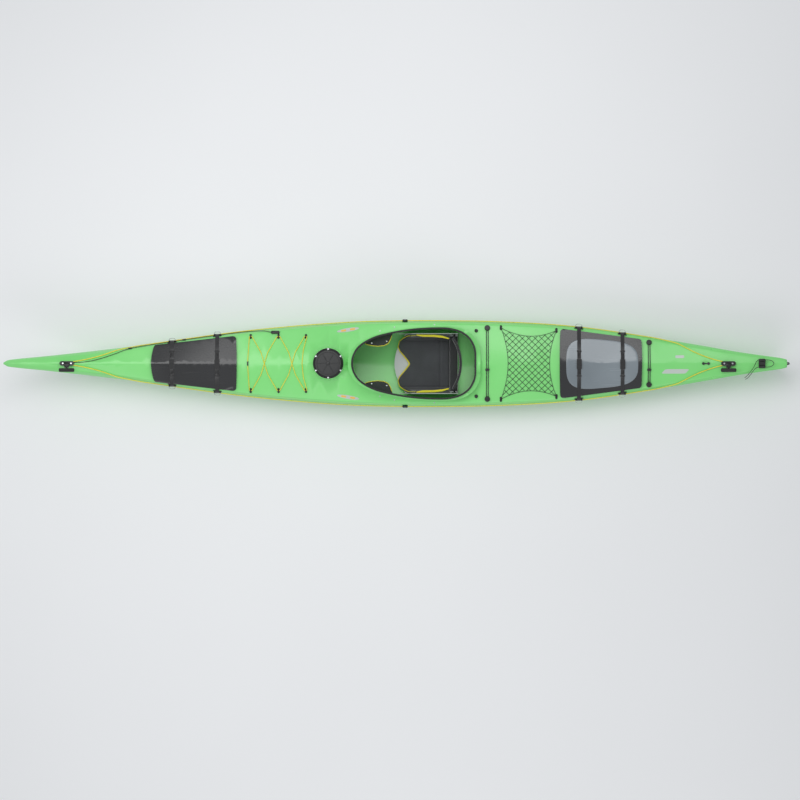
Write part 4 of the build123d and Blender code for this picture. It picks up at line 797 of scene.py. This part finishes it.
# %% Pleated pad
BACK_RADIUS, BACK_REAR, BACK_GAP = 0.3009, 0.420, 0.0006
BACK_HALF, BACK_FOOT, BACK_TOP = 0.182, 0.163, 0.293
PLEAT_PITCH, PLEAT_DEPTH = 0.0165, 0.0028
BAND_AT, BAND_WIDTH, BAND_DEPTH = 0.262, 0.004, 0.003
back_centre = BACK_REAR - BACK_RADIUS


def on_back(s, t, rise):
    """Point of the backrest at height s and t around, pushed forward by rise."""
    angle = t / BACK_RADIUS
    reach = BACK_RADIUS - BACK_GAP - rise
    return Vector((back_centre + reach * math.cos(angle), reach * math.sin(angle), s))


def back_rise(s, t):
    pleat = 0.5 + 0.5 * math.cos(2 * math.pi * t / PLEAT_PITCH)
    return 0.0122 - PLEAT_DEPTH * pleat**3 - BAND_DEPTH * dent(s, BAND_AT, BAND_WIDTH)


pad(
    "backrest_cover", spread(-BACK_HALF, BACK_HALF, 190), level(BACK_FOOT), level(BACK_TOP),
    on_back, back_rise, 0.010, 40, pad_cloth, "backrest_body", "backrest_pad",
)
rim_line = [on_back(BACK_TOP - 0.0005, t, 0.004) for t in spread(-0.176, 0.176, 80)]
piping("backrest_piping", [rim_line], 0.0022, black_rubber, "backrest_body", "black_rubber")

# %% [markdown]
# ## Thigh pads and their piping
# A shaped plate under the deck's edge takes the push of each knee. A pad is glued below it
# and a yellow cord edges its top. Both edges are read as (outward, along) places.

# %% Pads under the braces
FRONT_EDGE = ((0.112, -0.130), (0.116, -0.170), (0.124, -0.206), (0.150, -0.232),
              (0.168, -0.224), (0.190, -0.180), (0.206, -0.110), (0.214, -0.030))
REAR_EDGE = ((0.112, -0.130), (0.116, -0.090), (0.130, -0.061), (0.156, -0.046),
             (0.186, -0.036), (0.214, -0.030))
PAD_INNER, PAD_WIDTH, PAD_ROWS, PAD_INSET = 0.116, 0.086, 30, 0.004
PAD_THICK, PAD_EDGE, PAD_COLUMNS = 0.0044, 0.006, 40
PIPING_STEPS = 8


def under_brace(side):
    """Placing function for one side's pad, hung below its brace."""

    def place(s, t, rise):
        height = top_of(pad_skin, s, side * t) or top_of(brace_skin, s, side * t, 0.25) - 0.006
        return Vector((s, side * t, height - 0.0002 - rise))

    return place


def brace_edge(side):
    """Points on top of the brace along its inner edge."""
    edge = [(x, y) for y, x in (*reversed(FRONT_EDGE[:4]), *REAR_EDGE[1:5])]
    for (x0, y0), (x1, y1) in zip(edge, edge[1:]):
        for k in range(PIPING_STEPS):
            x = x0 + (x1 - x0) * k / PIPING_STEPS
            y = y0 + (y1 - y0) * k / PIPING_STEPS
            height = top_of(brace_skin, x, side * (y + 0.003))
            if height:
                yield Vector((x, side * (y + 0.0015), height + 0.0005))


pad_rows = [PAD_INNER + PAD_WIDTH * k / PAD_ROWS for k in range(PAD_ROWS + 1)]
for side, tag in ((1, "starboard"), (-1, "port")):
    stands = ("thigh_pads",) if side > 0 else ()
    pad(
        f"thigh_pad_{tag}", pad_rows, lambda t: between(t, *FRONT_EDGE) + PAD_INSET,
        lambda t: between(t, *REAR_EDGE) - PAD_INSET, under_brace(side), level(PAD_THICK),
        PAD_EDGE, PAD_COLUMNS, pad_cloth, "boat", *stands,
    )
    line = list(brace_edge(side))
    piping(f"brace_piping_{tag}", [line], 0.0022, piping_yellow, "boat", "yellow_cord")
copies["thigh_braces"].data.materials[0] = pad_cloth

# %% [markdown]
# ## A helper for Geometry Nodes
# What repeats is grown by a small node group with named sizes. `Grower` makes the group's
# sockets, and `mesh` runs it once and returns a plain mesh, since instances don't export.

# %% Grower


class Grower:
    """A geometry-node group with one geometry in, one out and named sizes."""

    def __init__(self, name, source, result, sizes):
        self.group = bpy.data.node_groups.new(name, "GeometryNodeTree")
        self.sizes, self.keys = sizes, {}
        face = self.group.interface
        face.new_socket(source, in_out="INPUT", socket_type="NodeSocketGeometry")
        for label, value in sizes.items():
            kind = "NodeSocketInt" if isinstance(value, int) else "NodeSocketFloat"
            socket = face.new_socket(label, in_out="INPUT", socket_type=kind)
            self.keys[label] = socket.identifier
        face.new_socket(result, in_out="OUTPUT", socket_type="NodeSocketGeometry")
        self.start = self.group.nodes.new("NodeGroupInput").outputs
        self.end = self.group.nodes.new("NodeGroupOutput").inputs

    def add(self, kind, values, **settings):
        return add_node(self.group, kind, settings, values).outputs[0]

    def maths(self, operation, first, second):
        return self.add("ShaderNodeMath", [first, second], operation=operation)

    def ball(self, segments, rings, x, y, z):
        """Ball squashed to three half sizes."""
        round_ball = self.add("GeometryNodeMeshUVSphere", {"Segments": segments, "Rings": rings})
        size = self.add("ShaderNodeCombineXYZ", [x, y, z])
        return self.add("GeometryNodeTransform", {"Geometry": round_ball, "Scale": size})

    def moved(self, shape, place):
        return self.add("GeometryNodeTransform", {"Geometry": shape, "Translation": place})

    def joined(self, *shapes):
        join = self.group.nodes.new("GeometryNodeJoinGeometry")
        for shape in shapes:
            self.group.links.new(shape, join.inputs[0])
        return join.outputs[0]

    def finish(self, shape, material):
        """Ends the group: instances are made real and take their material."""
        real = self.add("GeometryNodeRealizeInstances", [shape])
        painted = self.add("GeometryNodeSetMaterial", {"Geometry": real, "Material": material})
        self.group.links.new(painted, self.end[0])

    def mesh(self, places):
        holder = added(places.name, places)
        repeat = holder.modifiers.new(self.group.name, "NODES")
        repeat.node_group = self.group
        for label, value in self.sizes.items():
            repeat[self.keys[label]] = value
        grown = evaluated_mesh(holder)
        bpy.data.objects.remove(holder)
        return grown


# %% [markdown]
# ## Screws by Geometry Nodes
# Small screws hold the coaming and the braces. One head, a squashed ball with a hexagonal
# recess, is instanced on a cloud of points that were found with rays.

# %% Screw heads
HEAD_RADIUS, HEAD_HEIGHT, HEAD_LIFT = 0.0050, 0.0018, 0.0002
SOCKET_SHARE, SOCKET_DEPTH, SOCKET_RISE = 0.45, 0.004, 0.0032
COAMING_SPOTS = ((-0.115, 0.215), (-0.020, 0.239), (0.244, 0.257))
BRACE_SPOTS = ((-0.170, 0.134), (-0.071, 0.146))
screw_points = [laid(x, side * y, HEAD_LIFT) for x, y in COAMING_SPOTS for side in (1, -1)]
for x, y in BRACE_SPOTS:
    for side in (1, -1):
        screw_points.append(Vector((x, side * y, top_of(brace_skin, x, side * y) + HEAD_LIFT)))


def screw_heads():
    grow = Grower(
        "screw_heads", "Points", "Screws", {"Head radius": HEAD_RADIUS, "Head height": HEAD_HEIGHT}
    )
    radius = grow.start["Head radius"]
    head = grow.ball(20, 10, radius, radius, grow.start["Head height"])
    recess = {
        "Vertices": 6,
        "Depth": SOCKET_DEPTH,
        "Radius": grow.maths("MULTIPLY", radius, SOCKET_SHARE),
    }
    socket = grow.moved(grow.add("GeometryNodeMeshCylinder", recess), (0, 0, SOCKET_RISE))
    cut = grow.add(
        "GeometryNodeMeshBoolean", {"Mesh 1": head, "Mesh 2": socket}, operation="DIFFERENCE"
    )
    copy = grow.add(
        "GeometryNodeInstanceOnPoints", {"Points": grow.start["Points"], "Instance": cut}
    )
    grow.finish(copy, bright_steel)
    return grow


cloud = bpy.data.meshes.new("screw_places")
cloud.from_pydata(screw_points, [], [])
screws = screw_heads().mesh(cloud)
show("coaming_screws", screws, bright_steel, "boat", "bright_steel")
print("screws:", len(screw_points), "faces:", len(screws.polygons))

# %% [markdown]
# ## Ribs of the day hatch lid by Geometry Nodes
# The round lid is stiffened by spokes that run from a middle boss to a raised ring. One
# rounded spoke is instanced on the points of a circle and turned by its index.

# %% Lid ribs
LID_SIZES = {"Spokes": 6, "Reach": 0.074, "Width": 0.0028, "Height": 0.0022}
SPOKE_MIDDLE, SPOKE_HALF, BOSS_SHARE, BOSS_RISE = 0.58, 0.42, 0.19, 1.8
RING_STEPS, RING_SIDES = 96, 12
lid_low, lid_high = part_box("day_hatch_lid")
lid_middle = ((lid_low[0] + lid_high[0]) / 2, (lid_low[1] + lid_high[1]) / 2, lid_high[2] - 0.0004)


def lid_ribs():
    grow = Grower("lid_ribs", "Lid", "Ribs", LID_SIZES)
    spokes, reach, width, height = (grow.start[label] for label in LID_SIZES)

    def times(value, share):
        return grow.maths("MULTIPLY", value, share)

    circle = grow.add(
        "GeometryNodeMeshCircle", {"Vertices": spokes, "Radius": times(reach, SPOKE_MIDDLE)}
    )
    spoke = grow.ball(16, 8, times(reach, SPOKE_HALF), width, height)
    index = grow.add("GeometryNodeInputIndex", {})
    turn = grow.maths("DIVIDE", times(index, 2 * math.pi), spokes)
    angle = grow.add("ShaderNodeCombineXYZ", {"Z": turn})
    copy = grow.add(
        "GeometryNodeInstanceOnPoints", {"Points": circle, "Instance": spoke, "Rotation": angle}
    )
    boss_radius = times(reach, BOSS_SHARE)
    boss = grow.ball(40, 16, boss_radius, boss_radius, times(height, BOSS_RISE))
    rim = grow.add(
        "GeometryNodeCurvePrimitiveCircle", {"Resolution": RING_STEPS, "Radius": reach}
    )
    wire = grow.add(
        "GeometryNodeCurvePrimitiveCircle", {"Resolution": RING_SIDES, "Radius": height}
    )
    ring = grow.add("GeometryNodeCurveToMesh", {"Curve": rim, "Profile Curve": wire})
    grow.finish(grow.moved(grow.joined(ring, boss, copy), lid_middle), black_nylon)
    return grow


ribs = lid_ribs().mesh(bpy.data.meshes.new("lid_place"))
ribs.shade_smooth()
show("day_lid_ribs", ribs, black_nylon, "day_lid_body", "black_plastic")
print("lid ribs faces:", len(ribs.polygons))

# %% [markdown]
# ## The free cord at the rudder rest
# One black cord passes twice through the rest at the stern: a loop hangs behind it and two
# tails hang forward. Each is a smooth spline through a few listed points.

# %% Loop and tails
CORD_DIAMETER = 0.004
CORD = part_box("rudder_rest")[1][2] - 0.016


def free_cord(name, points):
    curve = bpy.data.curves.new(name, "CURVE")
    curve.dimensions = "3D"
    curve.bevel_depth = CORD_DIAMETER / 2
    curve.bevel_resolution = 4
    curve.resolution_u = 12
    curve.use_fill_caps = True
    spline = curve.splines.new("NURBS")
    spline.points.add(len(points) - 1)
    for point, place in zip(spline.points, points):
        point.co = (*place, 1)
    spline.order_u = 3
    spline.use_endpoint_u = True
    cord = added(name, curve)
    curve.materials.append(black_braid)
    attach(cord, "boat")
    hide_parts("rest_cord")
    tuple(points[0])
    print(name, "points:", len(points))


free_cord("rest_cord_loop", [
    (2.380, -0.024, CORD), (2.430, -0.024, CORD), (2.452, -0.023, CORD + 0.001),
    (2.474, -0.016, CORD + 0.002), (2.484, 0.0, CORD + 0.003), (2.474, 0.016, CORD + 0.002),
    (2.452, 0.023, CORD + 0.001), (2.430, 0.024, CORD), (2.380, 0.024, CORD),
])
free_cord("rest_cord_tail_a", [
    (2.380, -0.024, CORD), (2.362, -0.030, CORD), (2.346, -0.048, CORD), (2.326, -0.080, 0.262),
    (2.310, -0.098, 0.240), (2.300, -0.104, 0.214),
])
free_cord("rest_cord_tail_b", [
    (2.380, 0.024, CORD), (2.366, 0.014, CORD + 0.001), (2.358, -0.008, CORD + 0.001),
    (2.344, -0.034, CORD - 0.001), (2.322, -0.064, 0.262), (2.304, -0.086, 0.236),
    (2.296, -0.094, 0.204),
])

# %% [markdown]
# ## Floor, light and camera
# The boat is seen straight from above through a long lens, so its outline keeps true
# proportions. Large soft panels give plastic broad, calm highlights.

# %% Studio
FRAME_WIDTH, DECK_HEIGHT, CAMERA_HEIGHT = 5.28, 0.25, 30.0
CAMERA_OVER = (0.0165, -0.2409)
SENSOR = 36.0


def matte_floor():
    finish = Finish("studio_floor", Roughness=0.9)
    patchy = finish.noise(0.6, 2.0)
    finish.feed("Base Color", finish.mix(patchy, hue(236, 237, 238), hue(240, 241, 242)))
    return finish.material


def soft_light(name, place, size, power):
    """Rectangular lamp that faces the origin."""
    light = bpy.data.lights.new(name, "AREA")
    light.shape = "RECTANGLE"
    light.size, light.size_y = size
    light.energy = power
    lamp = added(name, light)
    lamp.location = place
    lamp.rotation_euler = (-Vector(place)).to_track_quat("-Z", "Y").to_euler()


bpy.ops.mesh.primitive_plane_add(size=60, location=(0, 0, 0))
floor = bpy.context.object
floor.name = "studio_floor"
floor.data.materials.append(matte_floor())
soft_light("overhead", (-1.0, 1.5, 5.0), (7.0, 3.0), 150)
soft_light("port_fill", (0.5, -5.0, 3.5), (7.0, 2.0), 60)
world = bpy.data.worlds.new("studio")
bpy.context.scene.world = world
world.use_nodes = True
world.node_tree.nodes["Background"].inputs["Color"].default_value = (0.9, 0.92, 0.95, 1)
world.node_tree.nodes["Background"].inputs["Strength"].default_value = 0.55

lens = bpy.data.cameras.new("long_lens")
lens.type = "PERSP"
lens.sensor_width = SENSOR
lens.lens = SENSOR * (CAMERA_HEIGHT - DECK_HEIGHT) / FRAME_WIDTH
lens.clip_end = 200
camera = added("camera", lens)
camera.location = (*CAMERA_OVER, CAMERA_HEIGHT)
bpy.context.scene.camera = camera
bpy.context.scene.view_settings.view_transform = "Standard"
print("lens:", round(lens.lens, 1), "mm")
